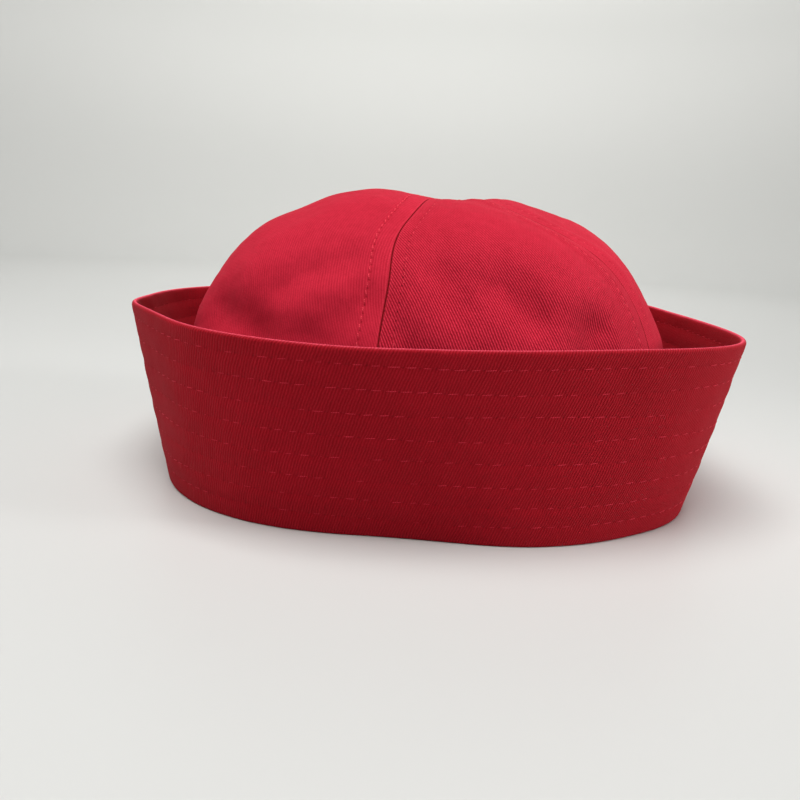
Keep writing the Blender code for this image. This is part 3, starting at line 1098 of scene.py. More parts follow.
@dataclass(frozen=True)
class Brim:
    """The turned-up brim: a double layer of twill with a folded lower edge and eight rows of stitching."""

    form: CapForm
    columns: int = 560
    wall_rows: int = 80
    inner_wall_rows: int = 54
    edge_rows: int = 8
    fold_rows: int = 7
    turn_in_rows: int = 4
    # heights of the stitch rows along the cloth, from the fold up, in millimetres
    row_heights: tuple[float, ...] = (7.3, 14.2, 21.6, 29.3, 37.0, 45.2, 53.2, 60.8)
    row_wander: float = 0.28 * MM
    wander_knots: int = 20
    stitch_pitch: float = 5.2 * MM
    pitch_change: float = 0.02  # how much more or less it is from row to row
    girth: float = 1.06  # the way round the wall's middle, in ways round its fold
    bunching: float = 0.5  # stitches
    bunch_knots: int = 16
    stitch_length: float = 4.1 * MM
    thread: float = 0.30 * MM
    thread_unevenness: float = 0.3
    pull: float = 0.075 * MM  # how much deeper the stitches lie at pull_most than at the cap's usual tension
    pull_most: float = 205.0  # azimuth, in degrees
    pull_change: float = 0.6  # how much less of it the top row has than the bottom one
    slack: float = 0.03 * MM
    pull_unevenness: float = 0.04 * MM
    slow_knots: int = 24  # of the pull's unevenness and the top edge's
    row_dip: float = 0.15 * MM
    row_dip_width: float = 0.8 * MM
    hole_dip: float = 0.5  # how much deeper a row is at the holes between its stitches
    row_swell: float = 0.10 * MM  # how far the cloth swells between the rows
    rim_unevenness: float = 0.15 * MM
    toe_reach: float = 40.0 * MM  # how far up the wall a push at its lower edge is felt
    sway_height: float = 0.25 * MM
    sway_wavelength: float = 48.0 * MM
    sway_start: tuple[float, float] = (6.0 * MM, 30.0 * MM)  # heights over which the sway sets in
    ripple_height: float = 0.07 * MM
    ripple_wavelength: float = 13.0 * MM
    ripple_start: tuple[float, float] = (4.0 * MM, 12.0 * MM)
    rib_width: float = 0.87  # millimetres from one rib of the twill to the next
    rib_lean: float = 15.5  # degrees that the twill's ribs lean to the right of upright
    rib_lean_change: float = 3.0  # degrees more at rib_lean_most, and as many less opposite
    rib_lean_most: float = 300.0
    relief_most: float = 290.0  # azimuth where the twill's ribs, in slope and painted groove shade, show most, in degrees
    relief_change: float = 0.6  # how much less they show a quarter of the way round from there
    least_relief: float = 0.3
    fine_steps: int = 4001
    stitch_probe: float = 0.0008  # share of the way round to each side, for a stitch's direction
    seed: int = 31

    @cached_property
    def wanders(self) -> list[RoundSpline]:
        """How far each stitch row strays from its height, in metres, round the cap."""
        return drawn_curves(self.seed, self.row_wander, self.wander_knots, len(self.row_heights))

    @cached_property
    def paces(self) -> list[tuple[int, float, RoundSpline]]:
        """For each row its number of stitches, its first stitch's place and how the stitches bunch."""
        draw = np.random.default_rng(self.seed + 1)
        made = []
        for _ in self.row_heights:
            change = draw.uniform(-self.pitch_change, self.pitch_change)
            count = round(self.form.perimeter * self.girth / self.stitch_pitch * (1.0 + change))
            start = draw.uniform()
            bunch = RoundSpline(draw.normal(0.0, self.bunching, self.bunch_knots))
            made.append((count, start, bunch))
        return made

    @cached_property
    def sway(self) -> SoftWaves:
        """The slow undulation of the whole wall."""
        return SoftWaves(self.seed + 2, self.sway_wavelength, self.sway_height)

    @cached_property
    def ripples(self) -> dict[Face, SoftWaves]:
        """The small unevenness of each face."""
        seeds = ((Face.OUTER, self.seed + 3), (Face.INNER, self.seed + 4))
        return {face: SoftWaves(seed, self.ripple_wavelength, self.ripple_height) for face, seed in seeds}

    @cached_property
    def rim_drift(self) -> RoundSpline:
        """The slow rise and fall of the top edge, in metres, round the cap."""
        return drawn_curves(self.seed + 5, self.rim_unevenness, self.slow_knots, 1)[0]

    @cached_property
    def pulls(self) -> list[RoundSpline]:
        """How unevenly each row of stitches is pulled into the cloth, in metres, round the cap."""
        return drawn_curves(self.seed + 6, self.pull_unevenness, self.slow_knots, len(self.row_heights))

    @property
    def rib_count(self) -> int:
        """The whole number of twill ribs that go round the brim."""
        return round(self.form.perimeter / MM * math.cos(math.radians(self.rib_lean)) / self.rib_width)

    def row_height(self, row: int, share: Array) -> Array:
        """Returns the height of a stitch row along the cloth, at shares of the way round."""
        return self.row_heights[row] * MM + self.wanders[row](share * 360.0)

    def pace(self, row: int, share: Array) -> Array:
        """Returns a row's count of stitches up to shares of the way round, whole at each one's middle."""
        count, start, bunch = self.paces[row]
        return share * count + start + bunch(share * 360.0)

    def azimuth_at(self, share: Array) -> Array:
        """Returns the azimuth of the fold in degrees, at shares of the way round."""
        return azimuth_of(self.form.fold_plan(self.form.station_at(share)))

    def rim_lift(self, share: Array) -> Array:
        """Returns how much higher than usual the top edge stands, in metres, at shares of the way round."""
        return self.rim_drift(share * 360.0) + pushed(self.azimuth_at(share), RIM_LIFTS)

    def toe_push(self, at: BrimPlace, reach: Array) -> Array:
        """Returns how far the lower part of the wall is pushed out, in metres, at distances up the cloth."""
        return pushed(azimuth_of(at.plan), TOE_PUSHES) * (1.0 - ease(reach, 0.0, self.toe_reach))

    def stand(self, share: Array) -> BrimPlace:
        """Finds how the brim stands.

        Args:
            share: Shares of the way round.

        Returns:
            The fold, its outward direction and its lean there.
        """
        station = self.form.station_at(share)
        lean = np.radians(self.form.lean(station))
        return BrimPlace(self.form.fold_plan(station), self.form.outward_at(station), lean)

    def sway_at(self, at: BrimPlace, reach: Array) -> Array:
        """Finds how far the whole wall sways outwards.

        Args:
            at: How the brim stands.
            reach: Distances along the cloth from the fold.

        Returns:
            The sway at each place, in metres.
        """
        plan = at.plan + at.outward * (reach * np.sin(at.lean))[..., None]
        centre = np.concatenate([plan, (reach * np.cos(at.lean))[..., None]], axis=-1)
        return self.sway(centre) * ease(reach, *self.sway_start) + self.toe_push(at, reach)

    def quilting(self, share: Array, reach: Array, face: Face) -> Array:
        """Finds how far a face of the wall stands out or dips between and along its stitch rows.

        Args:
            share: Shares of the way round.
            reach: Distances along the cloth from the fold.
            face: Which face.

        Returns:
            The relief at each place, in metres.
        """
        relief = np.zeros(np.broadcast(share, reach).shape)
        for row in range(len(self.row_heights)):
            away = (reach - self.row_height(row, share)) / self.row_dip_width
            holes = 1.0 - self.hole_dip * np.cos(TURN * self.pace(row, share))
            relief -= self.row_dip * bell(away) * holes
        low, high = self.row_heights[0] * MM, self.row_heights[-1] * MM
        pitch = (high - low) / (len(self.row_heights) - 1)
        inside = ease(reach, low - pitch, low) * ease(-reach, -high - pitch, -high)
        relief += self.row_swell * inside * np.sin(math.pi * (reach - low) / pitch) ** 2
        radius, around = self.form.perimeter / TURN, share * TURN
        tube = np.broadcast_arrays(radius * np.cos(around), radius * np.sin(around), reach)
        return relief + self.ripples[face](np.stack(tube, axis=-1)) * ease(reach, *self.ripple_start)

    def wall_section(self, lean: Array, reach: Array, face: Face) -> Section:
        """Makes a face of the wall's section.

        Args:
            lean: The wall's lean, in radians.
            reach: Distances along the cloth from the fold.
            face: Which face.

        Returns:
            The section at those distances.
        """
        form = self.form
        part = np.clip(reach / form.brim_height, 0.0, 1.0)
        bow = form.brim_bow * 4.0 * part * (1.0 - part) * ease(part, 0.0, form.bow_start)
        depth = form.brim_thickness if face is Face.INNER else 0.0
        out = reach * np.sin(lean) + bow - depth * np.cos(lean)
        up = reach * np.cos(lean) + depth * np.sin(lean)
        return Section(out, up, face.value * np.cos(lean), -face.value * np.sin(lean))

    def place(self, at: BrimPlace, section: Section, relief: Array, sway: Array) -> Array:
        """Puts a section round the cap.

        Args:
            at: How the brim stands.
            section: The section.
            relief: How far the cloth stands out from it, the way that it faces.
            sway: How far it sways outwards.

        Returns:
            The points.
        """
        out = section.out + section.facing_out * relief + sway
        up = section.up + section.facing_up * relief
        return np.concatenate([at.plan + at.outward * out[..., None], up[..., None]], axis=-1)

    def wall(self, share: Array, reach: Array, face: Face, plain: bool = False) -> Array:
        """Follows a face of the wall.

        Args:
            share: Shares of the way round.
            reach: Distances along the cloth from the fold.
            face: Which face.
            plain: Leaves out the quilting.

        Returns:
            The points.
        """
        share, reach = np.broadcast_arrays(share, reach)
        at = self.stand(share)
        relief = np.zeros(share.shape) if plain else self.quilting(share, reach, face)
        return self.place(at, self.wall_section(at.lean, reach, face), relief, self.sway_at(at, reach))

    def rows_map(self, share: Array, reach: Array, face: Face) -> Array:
        """Finds the nearest row of stitches.

        Args:
            share: Shares of the way round.
            reach: Distances along the cloth from the fold.
            face: Which face.

        Returns:
            The millimetres from it, and the stitches counted along it.
        """
        count = range(len(self.row_heights))
        away = np.stack([(reach - self.row_height(row, share)) / MM for row in count])
        paces = np.stack([self.pace(row, share) + face.shift for row in count])
        nearest = np.abs(away).argmin(axis=0)[None]
        picked = [np.take_along_axis(values, nearest, axis=0)[0] for values in (away, paces)]
        return np.stack(picked, axis=-1)

    def section_rows(self, at: BrimPlace, share: Array) -> tuple[Array, Array, Array]:
        """Goes once round the brim's closed section, from the inner end of its turn-in.

        Args:
            at: How the brim stands.
            share: The shares of the way round where it stands so.

        Returns:
            Rows of points, their ways along the cloth in millimetres, and their rows map.
        """
        form, lean = self.form, at.lean
        thick, radius, small = form.brim_thickness, form.fold_radius, form.fold_inner_radius
        half, swing = thick / 2.0, math.pi / 2.0 - lean
        tangent, inner_tangent = radius * np.tan(swing / 2.0), (thick + small) * np.tan(swing / 2.0)
        top = form.brim_height - half + self.rim_lift(share)
        one, zero = np.ones_like(lean), np.zeros_like(lean)
        level = self.toe_push(at, zero)
        far = np.stack([UNSTITCHED * one, zero], axis=-1)
        rows: list[tuple[Array, Array, Array]] = []

        def add(
            section: Section, way: Array, relief: Array = zero, sway: Array = zero, near: Array = far
        ) -> None:
            """Adds one row of points."""
            rows.append((self.place(at, section, relief, sway), way / MM * one, near))

        def add_wall(reach: Array, way: Array, face: Face) -> None:
            """Adds one row of a face of the wall."""
            relief, sway = self.quilting(share, reach, face), self.sway_at(at, reach)
            add(self.wall_section(lean, reach, face), way, relief, sway, self.rows_map(share, reach, face))

        for step in range(self.turn_in_rows):  # underside of the turn-in
            out = half - form.turn_in + step / self.turn_in_rows * (form.turn_in - half - tangent)
            add(Section(out + level, zero, zero, -one), out)
        for step in range(self.fold_rows):  # outer skin of the fold
            turn = swing * step / self.fold_rows
            out, up = radius * np.sin(turn) - tangent, radius - radius * np.cos(turn)
            add(Section(out + level, up, np.sin(turn), -np.cos(turn)), radius * turn - tangent)
        start = radius * swing - 2.0 * tangent
        for step in range(self.wall_rows + 1):  # outer face
            reach = tangent + (top - tangent) * step / self.wall_rows
            add_wall(reach, start + reach, Face.OUTER)
        crest = self.wall_section(lean, top, Face.OUTER)
        for step in range(1, self.edge_rows):  # round top edge
            turn = math.pi * step / self.edge_rows
            facing_out = crest.facing_out * math.cos(turn) + np.sin(lean) * math.sin(turn)
            facing_up = crest.facing_up * math.cos(turn) + np.cos(lean) * math.sin(turn)
            out = crest.out + half * (facing_out - crest.facing_out)
            up = crest.up + half * (facing_up - crest.facing_up)
            way = start + top + half * turn
            add(Section(out, up, facing_out, facing_up), way, sway=self.sway_at(at, top))
        start = start + 2.0 * top + half * math.pi
        for step in range(self.inner_wall_rows + 1):  # inner face
            reach = top + (inner_tangent - top) * step / self.inner_wall_rows
            add_wall(reach, start - reach, Face.INNER)
        start = start - inner_tangent
        for step in range(1, self.fold_rows):  # inner skin of the fold
            turn = swing * (1.0 - step / self.fold_rows)
            out, up = small * np.sin(turn) - inner_tangent, thick + small - small * np.cos(turn)
            add(Section(out + level, up, -np.sin(turn), np.cos(turn)), start + small * (swing - turn))
        start = start + small * swing - inner_tangent
        for step in range(self.turn_in_rows + 1):  # upper side of the turn-in
            out = step / self.turn_in_rows * (half - form.turn_in + inner_tangent) - inner_tangent
            add(Section(out + level, thick * one, zero, one), start - out)
        for step in range(1, self.edge_rows):  # its round inner end
            turn = math.pi * step / self.edge_rows
            facing_out, facing_up = -math.sin(turn) * one, math.cos(turn) * one
            out = half - form.turn_in + half * facing_out + level
            way = start + form.turn_in - half + half * turn
            add(Section(out, half + half * facing_up, facing_out, facing_up), way)
        points, ways, stitched = (np.stack(part) for part in zip(*rows))
        return points, ways, stitched

    def weave(self, ways: Array, share: Array) -> Array:
        """Lays the twill round the brim, so that its ribs join where the ring closes.

        Args:
            ways: Ways along the section, in millimetres.
            share: Shares of the way round.

        Returns:
            The millimetres across and along the ribs.
        """
        azimuth = np.radians(self.form.station_at(share) - self.rib_lean_most)
        lean = np.radians(self.rib_lean + self.rib_lean_change * np.cos(azimuth))
        mean = math.radians(self.rib_lean)
        round_way = share * self.rib_count * self.rib_width / math.cos(mean)
        across = (round_way - ways * np.tan(lean)) * math.cos(mean)
        along = round_way * math.sin(mean) + ways * math.cos(mean)
        return np.stack([across, along], axis=-1)

    def stitch_run(self, row: int, face: Face) -> StitchRun:
        """Lays out one row of stitches. On the inner face they lie between the outer ones.

        Args:
            row: Which row, from the fold up.
            face: Which face.

        Returns:
            The stitches.
        """
        fine = np.linspace(0.0, 1.0, self.fine_steps)
        paces = self.pace(row, fine)
        wanted = np.ceil(paces[0] - face.shift) + np.arange(self.paces[row][0]) + face.shift
        share = np.interp(wanted, paces, fine)
        reach = self.row_height(row, share)
        after, before = share + self.stitch_probe, share - self.stitch_probe
        along = self.wall(after, self.row_height(row, after), face, plain=True)
        along -= self.wall(before, self.row_height(row, before), face, plain=True)
        upward = self.wall(share, reach + MM, face, plain=True)
        upward -= self.wall(share, reach - MM, face, plain=True)
        normals = unit(face.value * np.cross(along, upward))
        most = 1.0 + np.cos(np.radians(self.azimuth_at(share) - self.pull_most))
        pull = self.pull * (1.0 - self.pull_change * row / (len(self.row_heights) - 1))
        pulled = np.maximum(pull * most - self.slack + self.pulls[row](share * 360.0), 0.0)
        return StitchRun(self.wall(share, reach, face) - normals * pulled[:, None], along, normals)

    def build(self, cloth: bpy.types.Material, thread: bpy.types.Material) -> None:
        """Makes the brim's cloth and its stitches on both faces.

        Args:
            cloth: The cloth's finish.
            thread: The stitches' finish.
        """
        share = np.linspace(0.0, 1.0, self.columns + 1)
        points, ways, stitched = self.section_rows(self.stand(share), share)
        last = ways[-1:] + (self.form.brim_thickness / MM) * math.pi / 2.0 / self.edge_rows
        weave = self.weave(np.concatenate([ways, last]), share)
        maps = {WEAVE_MAP: weave, ROWS_MAP: np.concatenate([stitched, stitched[-1:]])}
        crest = self.turn_in_rows + self.fold_rows + self.wall_rows + 1 + self.edge_rows // 2
        # millimetres from the rim's crest, along which a highlight is painted
        from_rim = np.abs(ways - ways[crest])[:, :-1]
        turned = np.cos(np.radians(self.azimuth_at(share[:-1]) - self.relief_most))
        shown = np.maximum(1.0 - self.relief_change * (1.0 - turned), self.least_relief)
        layers = {EDGE_LAYER: from_rim, RELIEF_LAYER: np.broadcast_to(shown, from_rim.shape)}
        brim = lay_sheet("brim_cloth", points[:, :-1], maps, layers, cloth, closed=True)
        settle(brim, self.form, ["brim"])
        needle = Stitching(self.stitch_length, self.thread, unevenness=self.thread_unevenness)
        for face in Face:
            runs = [self.stitch_run(row, face) for row in range(len(self.row_heights))]
            stitches = needle.sew(f"brim_stitches_{face.name.lower()}", runs, thread)
            settle(stitches, self.form)


# --- Crown ------------------------------------------------------------------------------------------------


@dataclass(frozen=True)
class Gore:
    """One gore of the crown. Its seam edges turn under and lie flat inside, as sewn allowances do."""

    form: CapForm
    span: GoreSpan
    seed: int
    rows: int = 132
    columns: int = 120
    turn_columns: int = 7
    allowance_columns: int = 6
    cloth: float = 0.6 * MM
    turn_radius: float = 0.42 * MM
    overlap: float = 0.02 * MM  # how far the turned edge passes its seam
    seam_shadow: float = 0.14 * MM  # how far out of a seam its shade reaches
    allowance: float = 9.0 * MM
    narrow_turn: float = 0.22  # the most that the turn takes near the apex, in widths of the gore
    narrow_allowance: float = 0.42  # and the allowance
    seam_raise: float = 0.5 * MM
    raise_end: tuple[float, float] = (0.85, 1.3)  # allowances from the seam between which the raise ends
    foot_gap: float = 0.05 * MM
    first_row: float = 4.5 * MM  # topstitching beside the first seam
    last_row: float = 6.5 * MM  # topstitching beside the last seam
    stitch_pitch: float = 3.15 * MM
    first_dip: float = 0.10 * MM
    first_sink: float = 0.16 * MM  # how much deeper the first row's stitches lie
    first_tightness: float = 1.8  # how much narrower its crease is
    last_dip: float = 0.24 * MM
    row_dip_width: float = 0.8 * MM
    hole_dip: float = 0.6
    edge_density: float = 1.7
    apex_radius: float = 0.25 * MM
    apex_pit: float = 0.9 * MM
    apex_pit_radius: float = 1.8 * MM
    wave_height: float = 0.18 * MM
    wavelength: float = 30.0 * MM
    ripple_height: float = 0.07 * MM
    ripple_wavelength: float = 9.0 * MM
    calm_width: float = 14.0 * MM  # from a seam, where the waves are held flat
    calm_ripple: float = 0.4  # how much of the ripples is left there
    rise_steps: int = 4000
    fine_steps: int = 361
    top_smoothness: float = 0.65  # how much less the twill's ribs, and the shade painted in their grooves, show at the top
    smooth_rises: tuple[float, float] = (42.0, 58.0)  # rises between which they fade, in degrees
    least_width: float = 2.2  # of the gore where it is topstitched, in distances of the row from its seam
    side_probe: float = 0.5 * MM  # to each side of a row, for the way that its stitches face
    stitch_probe: float = 0.6 * MM  # along a row to each side, for a stitch's direction

    @property
    def edge_columns(self) -> int:
        """The columns of each turned edge."""
        return self.turn_columns + self.allowance_columns

    @property
    def seam_rows(self) -> tuple[tuple[float, float], ...]:
        """The distance of each row of topstitching from its seam, and its dip."""
        return (self.first_row, self.first_dip), (self.last_row, self.last_dip)

    def edges(self, rise: Array) -> tuple[Array, Array]:
        """Returns the azimuths of the first and the last seam in degrees, the last one beyond the first."""
        first = self.form.seam_azimuth(self.span.first, rise)
        return first, first + (self.form.seam_azimuth(self.span.last, rise) - first) % 360.0

    def middle_line(self, rise: Array) -> Array:
        """Returns points of the plain crown up the gore's middle."""
        first, last = self.edges(rise)
        return self.form.plain_crown((first + last) / 2.0, rise)

    @cached_property
    def rises(self) -> Array:
        """The rises of the rows, evenly spaced along the gore's middle, in degrees."""
        fine = 90.0 * (1.0 - (1.0 - np.linspace(0.0, 1.0, self.rise_steps)) ** 2)
        points = self.middle_line(fine)
        kept = np.linalg.norm(points[:, :2] - np.array(self.form.apex), axis=1) >= self.apex_radius
        length = way_along(points[kept])
        return np.interp(np.linspace(0.0, length[-1], self.rows), length, fine[kept])

    @cached_property
    def lengths(self) -> Array:
        """The way up the gore's middle to each row, in metres."""
        return way_along(self.middle_line(self.rises))

    @cached_property
    def arcs(self) -> tuple[Array, Array]:
        """For each row, fine azimuths from seam to seam and the way along the row to each."""
        first, last = self.edges(self.rises[:, None])
        fine = first + (last - first) * np.linspace(0.0, 1.0, self.fine_steps)
        return fine, way_along(self.form.plain_crown(fine, self.rises[:, None]))

    @cached_property
    def flat(self) -> tuple[Array, Array]:
        """Where the fine azimuths of each row lie in the gore's flat pattern, across and up it in metres."""
        fine, arcs = self.arcs
        along = unit(np.diff(self.form.plain_crown(fine, self.rises[:, None]), axis=1))
        normals = self.form.crown_normal(fine, self.rises[:, None])
        upward = unit(np.cross(normals[:, 1:-1], along[:, 1:] + along[:, :-1]))
        heading = running_sum(np.sum((along[:, 1:] - along[:, :-1]) * upward, axis=-1))
        middle = slice(self.fine_steps // 2, self.fine_steps // 2 + 1)
        heading -= heading[:, middle]
        steps = np.diff(arcs, axis=1)
        across, up = running_sum(steps * np.cos(heading)), running_sum(steps * np.sin(heading))
        return across - across[:, middle], up - up[:, middle] + self.lengths[:, None]

    def along_rows(self, ways: Array, values: Array) -> Array:
        """Returns values, known at the fine azimuths, at ways along the rows from the first seam."""
        return np.stack([np.interp(way, arc, value) for way, arc, value in zip(ways, self.arcs[1], values)])

    def face_relief(self, from_first: Array, from_last: Array, points: Array) -> Array:
        """Finds how far the gore's face stands out from the plain crown.

        Args:
            from_first: Ways from the first seam.
            from_last: Ways from the last seam.
            points: The plain crown's points.

        Returns:
            The relief at each point, in metres.
        """
        near = np.minimum(from_first, from_last)
        relief = self.seam_raise * (1.0 - ease(near / self.allowance, *self.raise_end))
        holes = 1.0 - self.hole_dip * np.cos(TURN * self.lengths[:, None] / self.stitch_pitch)
        for away, (row, dip) in zip((from_first, from_last), self.seam_rows):
            relief = relief - dip * holes * bell((away - row) / self.row_dip_width)
        calm = ease(near, 0.0, self.calm_width)
        waves = SoftWaves(self.seed, self.wavelength, self.wave_height)
        ripples = SoftWaves(self.seed + 1, self.ripple_wavelength, self.ripple_height)
        rippled = self.calm_ripple + (1.0 - self.calm_ripple) * calm
        relief += waves(points) * calm + ripples(points) * rippled
        away = np.linalg.norm(points[..., :2] - np.array(self.form.apex), axis=-1)
        return relief - self.form.fold_depth(points) - self.apex_pit * bell(away / self.apex_pit_radius)

    def shape(self) -> tuple[Array, Array, Array, Array]:
        """Makes the gore from its first allowance to its last.

        Returns:
            Its points, its weave map, its rows map and the millimetres out of the nearest seam.
        """
        width = self.arcs[1][:, -1:]
        turn_radius = np.minimum(self.turn_radius, self.narrow_turn * width)
        allowance = np.minimum(self.allowance, self.narrow_allowance * width)
        even = np.linspace(-1.0, 1.0, self.columns)
        spread = np.tanh(self.edge_density * even) / math.tanh(self.edge_density)
        ways = turn_radius + (width - 2.0 * turn_radius) * (spread + 1.0) / 2.0

        turn = math.pi * np.arange(1, self.turn_columns + 1) / self.turn_columns
        turned_way = turn_radius * (1.0 - np.sin(turn)) - self.overlap * np.sin(turn)
        under = np.linspace(0.0, 1.0, self.allowance_columns + 1)[1:]
        under_way = turn_radius + (allowance - turn_radius) * under
        edge_way = np.concatenate([turned_way, under_way], axis=1)
        drops = [-turn_radius * (1.0 - np.cos(turn)), -2.0 * turn_radius * np.ones_like(under)]
        edge_drop = np.concatenate(drops, axis=1)

        def lay(way: Array, drop: Array | float) -> Array:
            """Lays points of the gore.

            Args:
                way: Ways from the first seam.
                drop: How far out of the gore's face the points lie.

            Returns:
                The points.
            """
            clipped = np.clip(way, 0.0, width)
            degrees = self.along_rows(clipped, self.arcs[0])
            plain = self.form.plain_crown(degrees, self.rises[:, None])
            relief = self.face_relief(clipped, width - clipped, plain) + drop
            return plain + self.form.crown_normal(degrees, self.rises[:, None]) * relief[..., None]

        first, last = lay(edge_way, edge_drop), lay(width - edge_way, edge_drop)
        points = np.concatenate([first[:, ::-1], lay(ways, 0.0), last], axis=1)

        curved, level = turn_radius * (1.0 + turn), turn_radius * (1.0 + math.pi) + under_way
        beyond = np.concatenate([curved, level], axis=1)
        across, up = (self.along_rows(ways, values) for values in self.flat)
        across = np.concatenate([across[:, :1] - beyond[:, ::-1], across, across[:, -1:] + beyond], axis=1)
        edge = ((0, 0), (self.edge_columns, self.edge_columns))
        up = np.pad(up, edge, mode="edge")
        grain = math.radians(self.span.grain)
        cos, sin = math.cos(grain), math.sin(grain)
        weave = np.stack([across * sin - up * cos, across * cos + up * sin], axis=-1)

        pace = self.lengths[:, None] / self.stitch_pitch * np.ones_like(ways)
        from_first = (ways - self.first_row) / MM * self.first_tightness
        from_first = np.where(width > self.least_width * self.first_row, from_first, UNSTITCHED)
        from_last = (width - ways - self.last_row) / MM
        from_last = np.where(width > self.least_width * self.last_row, from_last, UNSTITCHED)
        away = np.where(np.abs(from_first) < np.abs(from_last), from_first, from_last)
        rows = [np.pad(away, edge, constant_values=UNSTITCHED), np.pad(pace, edge, mode="edge")]

        # the shade painted into a seam reaches seam_shadow out onto the face and covers the turned edge; the
        # allowances get none
        near = np.minimum(ways, width - ways) - self.turn_radius - self.seam_shadow
        turned = self.turn_radius - self.seam_shadow - beyond[:, : self.turn_columns]
        inside = np.concatenate([turned, under_way], axis=1)
        near = np.concatenate([inside[:, ::-1], near, inside], axis=1)
        return points, weave / MM, np.stack(rows, axis=-1), near / MM

    def stitch_run(self, points: Array, first: bool) -> StitchRun:
        """Lays out the topstitching beside one seam.

        Args:
            points: The gore's points, as shape() gives them.
            first: Whether it is the first seam, or else the last.

        Returns:
            The stitches.
        """
        face = points[:, self.edge_columns : self.edge_columns + self.columns]
        width = self.arcs[1][:, -1]
        row = self.first_row if first else self.last_row
        wanted = np.minimum(row, width / 2.0)
        way = way_along(face)
        at = wanted if first else way[:, -1] - wanted

        def line(shift: float) -> Array:
            """Returns the line of the row, shifted along the gore's rows."""
            return np.stack([points_at(a + shift, w, f) for a, w, f in zip(at, way, face)])

        middle, beside = line(0.0), line(self.side_probe) - line(-self.side_probe)
        holes = np.arange(1, int(self.lengths[-1] / self.stitch_pitch) - 1) * self.stitch_pitch
        kept = holes[np.interp(holes, self.lengths, width) > self.least_width * row]
        probe = self.stitch_probe
        ahead, behind = (points_at(kept + step, self.lengths, middle) for step in (probe, -probe))
        normals = unit(np.cross(points_at(kept, self.lengths, beside), ahead - behind))
        sink = self.first_sink if first else 0.0
        return StitchRun(points_at(kept, self.lengths, middle) - sink * normals, ahead - behind, normals)

    def build(self, cloth: bpy.types.Material) -> list[StitchRun]:
        """Makes the gore.

        Args:
            cloth: Its finish.

        Returns:
            Its two rows of topstitching.
        """
        points, weave, rows, near = self.shape()
        foot = points[:1].copy()
        foot[..., 2] = self.form.brim_thickness + self.foot_gap
        smooth = 1.0 - self.top_smoothness * ease(self.rises, *self.smooth_rises)
        relief = self.span.relief * smooth[:, None] * np.ones_like(near)
        # the foot takes the values of the row above it
        grids = (weave, rows, near, relief)
        weave, rows, near, relief = (np.concatenate([grid[:1], grid]) for grid in grids)
        maps, layers = {WEAVE_MAP: weave, ROWS_MAP: rows}, {EDGE_LAYER: near, RELIEF_LAYER: relief}
        sheet = lay_sheet(f"{self.span.name}_cloth", np.concatenate([foot, points]), maps, layers, cloth)
        wall = sheet.modifiers.new("thickness", "SOLIDIFY")
        wall.thickness = self.cloth
        wall.offset = -1.0
        settle(sheet, self.form, [self.span.name])
        return [self.stitch_run(points, True), self.stitch_run(points, False)]


@dataclass(frozen=True)
class Crown:
    """The crown's four gores and the topstitching beside their seams."""

    form: CapForm
    stitch_length: float = 2.2 * MM
    thread: float = 0.40 * MM
    slant: float = 10.0  # degrees
    gore_seeds: tuple[int, ...] = (90, 100, 110, 120)
    stitch_seed: int = 19

    def build(self, cloth: bpy.types.Material, thread: bpy.types.Material) -> None:
        """Makes the gores and their stitches.

        Args:
            cloth: The gores' finish.
            thread: The stitches' finish.
        """
        runs: list[StitchRun] = []
        for span, seed in zip(GORES, self.gore_seeds):
            runs += Gore(self.form, span, seed).build(cloth)
        needle = Stitching(self.stitch_length, self.thread, slant=self.slant, seed=self.stitch_seed)
        stitches = needle.sew("crown_stitches", runs, thread)
        settle(stitches, self.form)


# --- Studio -----------------------------------------------------------------------------------------------


class SoftLight(NamedTuple):
    """A square softbox."""

    name: str
    place: tuple[float, float, float]
    aim: tuple[float, float, float]
    side: float
    power: float
    colour: tuple[float, float, float]
    spread: float = 180.0  # degrees, less with a grid in front


CAP_MIDDLE = (0.0, 0.0, 0.05)


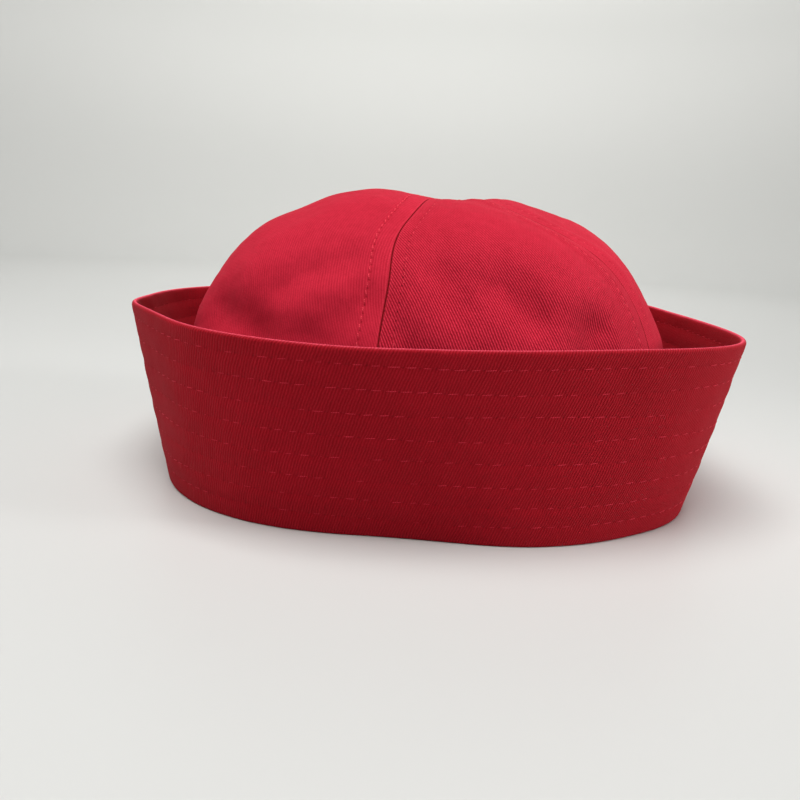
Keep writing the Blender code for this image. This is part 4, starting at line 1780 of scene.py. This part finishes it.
@dataclass(frozen=True)
class Studio:
    """A pale floor that curves up into a wall far off, soft lights and the camera of the photograph."""

    floor_radius: float = 1.3
    cove_radius: float = 0.6
    wall_height: float = 1.6
    floor_rings: int = 8
    cove_rings: int = 24
    floor_sides: int = 96
    floor_colour: Colour = (0.60, 0.61, 0.60, 1.0)
    floor_roughness: float = 0.45
    floor_specular: float = 0.3
    sky: Colour = (0.95, 0.97, 1.0, 1.0)
    sky_strength: float = 0.03
    lights: tuple[SoftLight, ...] = (
        SoftLight("overhead", (-0.17, -0.34, 1.42), CAP_MIDDLE, 1.0, 26.8, (1.0, 0.985, 0.97)),
        SoftLight("right", (1.25, -0.2, 0.3), CAP_MIDDLE, 0.24, 0.31, (1.0, 0.98, 0.98), 30.0),
        SoftLight("left", (-1.1, -0.5, 0.22), CAP_MIDDLE, 0.3, 0.048, (1.0, 0.98, 0.97), 40.0),
        SoftLight("back", (0.3, 1.0, 0.9), CAP_MIDDLE, 0.7, 1.0, (1.0, 1.0, 1.0)),
        SoftLight("backdrop", (0.0, 0.9, 1.3), (0.0, 1.9, 0.6), 0.8, 12.5, (1.0, 0.98, 0.95)),
    )
    camera_place: tuple[float, float, float] = (-8.365 * MM, -325.854 * MM, 100.961 * MM)
    camera_pitch: float = 0.22467  # radians down
    camera_roll: float = 0.05089  # radians
    focal_length: float = 35.768  # millimetres on a 36 mm sensor
    sensor: float = 36.0
    nearest: float = 0.01

    def floor(self) -> None:
        """Makes the floor and the wall round it as one turned sheet."""
        rings = range(1, self.floor_rings + 1)
        profile = [(self.floor_radius * (ring / self.floor_rings), 0.0) for ring in rings]
        for ring in range(1, self.cove_rings + 1):
            turn = math.pi / 2.0 * ring / self.cove_rings
            reach = self.floor_radius + self.cove_radius * math.sin(turn)
            profile.append((reach, self.cove_radius * (1.0 - math.cos(turn))))
        profile.append((self.floor_radius + self.cove_radius, self.wall_height))
        count = self.floor_sides
        around = np.linspace(0.0, TURN, count, endpoint=False)
        points = [(0.0, 0.0, 0.0)]
        points += [(r * math.cos(a), r * math.sin(a), z) for r, z in profile for a in around]
        faces = [(0, 1 + side, 1 + (side + 1) % count) for side in range(count)]
        for low in range(1, 1 + count * (len(profile) - 1), count):
            sides = [(low + side, low + (side + 1) % count) for side in range(count)]
            faces += [(here, here + count, after + count, after) for here, after in sides]
        mesh = bpy.data.meshes.new("pale_floor")
        mesh.from_pydata(points, [], faces)
        material = bpy.data.materials.new("pale_floor")
        material.use_nodes = True
        shader = material.node_tree.nodes["Principled BSDF"]
        shader.inputs["Base Color"].default_value = self.floor_colour
        shader.inputs["Roughness"].default_value = self.floor_roughness
        shader.inputs["Specular IOR Level"].default_value = self.floor_specular
        floor = place_piece(mesh, material)

    def light(self) -> None:
        """Lights the cap from the softboxes and a dim sky."""
        for soft in self.lights:
            lamp = bpy.data.lights.new(soft.name, "AREA")
            lamp.shape = "SQUARE"
            lamp.size = soft.side
            lamp.spread = math.radians(soft.spread)
            lamp.energy = soft.power
            lamp.color = soft.colour
            holder = bpy.data.objects.new(soft.name, lamp)
            holder.location = soft.place
            holder.visible_camera = False
            holder.rotation_mode = "QUATERNION"
            holder.rotation_quaternion = (Vector(soft.aim) - Vector(soft.place)).to_track_quat("-Z", "Y")
            bpy.context.scene.collection.objects.link(holder)
        world = bpy.data.worlds.new("sky")
        world.use_nodes = True
        background = world.node_tree.nodes["Background"]
        background.inputs["Color"].default_value = self.sky
        background.inputs["Strength"].default_value = self.sky_strength
        bpy.context.scene.world = world

    def camera(self) -> None:
        """Makes the camera where the photograph was taken from."""
        data = bpy.data.cameras.new("camera")
        data.lens = self.focal_length
        data.sensor_width = self.sensor
        data.clip_start = self.nearest
        level = Vector((1.0, 0.0, 0.0))
        upright = Vector((0.0, math.sin(self.camera_pitch), math.cos(self.camera_pitch)))
        forward = Vector((0.0, math.cos(self.camera_pitch), -math.sin(self.camera_pitch)))
        right = level * math.cos(self.camera_roll) + upright * math.sin(self.camera_roll)
        up = upright * math.cos(self.camera_roll) - level * math.sin(self.camera_roll)
        turn = Matrix((right, up, -forward)).transposed().to_4x4()
        holder = bpy.data.objects.new("camera", data)
        holder.matrix_world = Matrix.Translation(Vector(self.camera_place)) @ turn
        bpy.context.scene.collection.objects.link(holder)
        bpy.context.scene.camera = holder

    def build(self) -> None:
        """Makes the floor, the lights and the camera."""
        self.floor()
        self.light()
        self.camera()
        bpy.context.scene.view_settings.view_transform = "Standard"


# --- The whole --------------------------------------------------------------------------------------------


def main() -> None:
    """Builds the cap and its studio."""
    logging.basicConfig(level=logging.INFO, format="%(name)s: %(message)s")
    TwillWeave().make()
    SewingThread().make()
    form = CapForm()
    Studio().build()
    Brim(form).build(BRIM_CLOTH.make(), BRIM_THREAD.make())
    Crown(form).build(CROWN_CLOTH.make(), CROWN_THREAD.make())


if __name__ == "__main__":
    main()
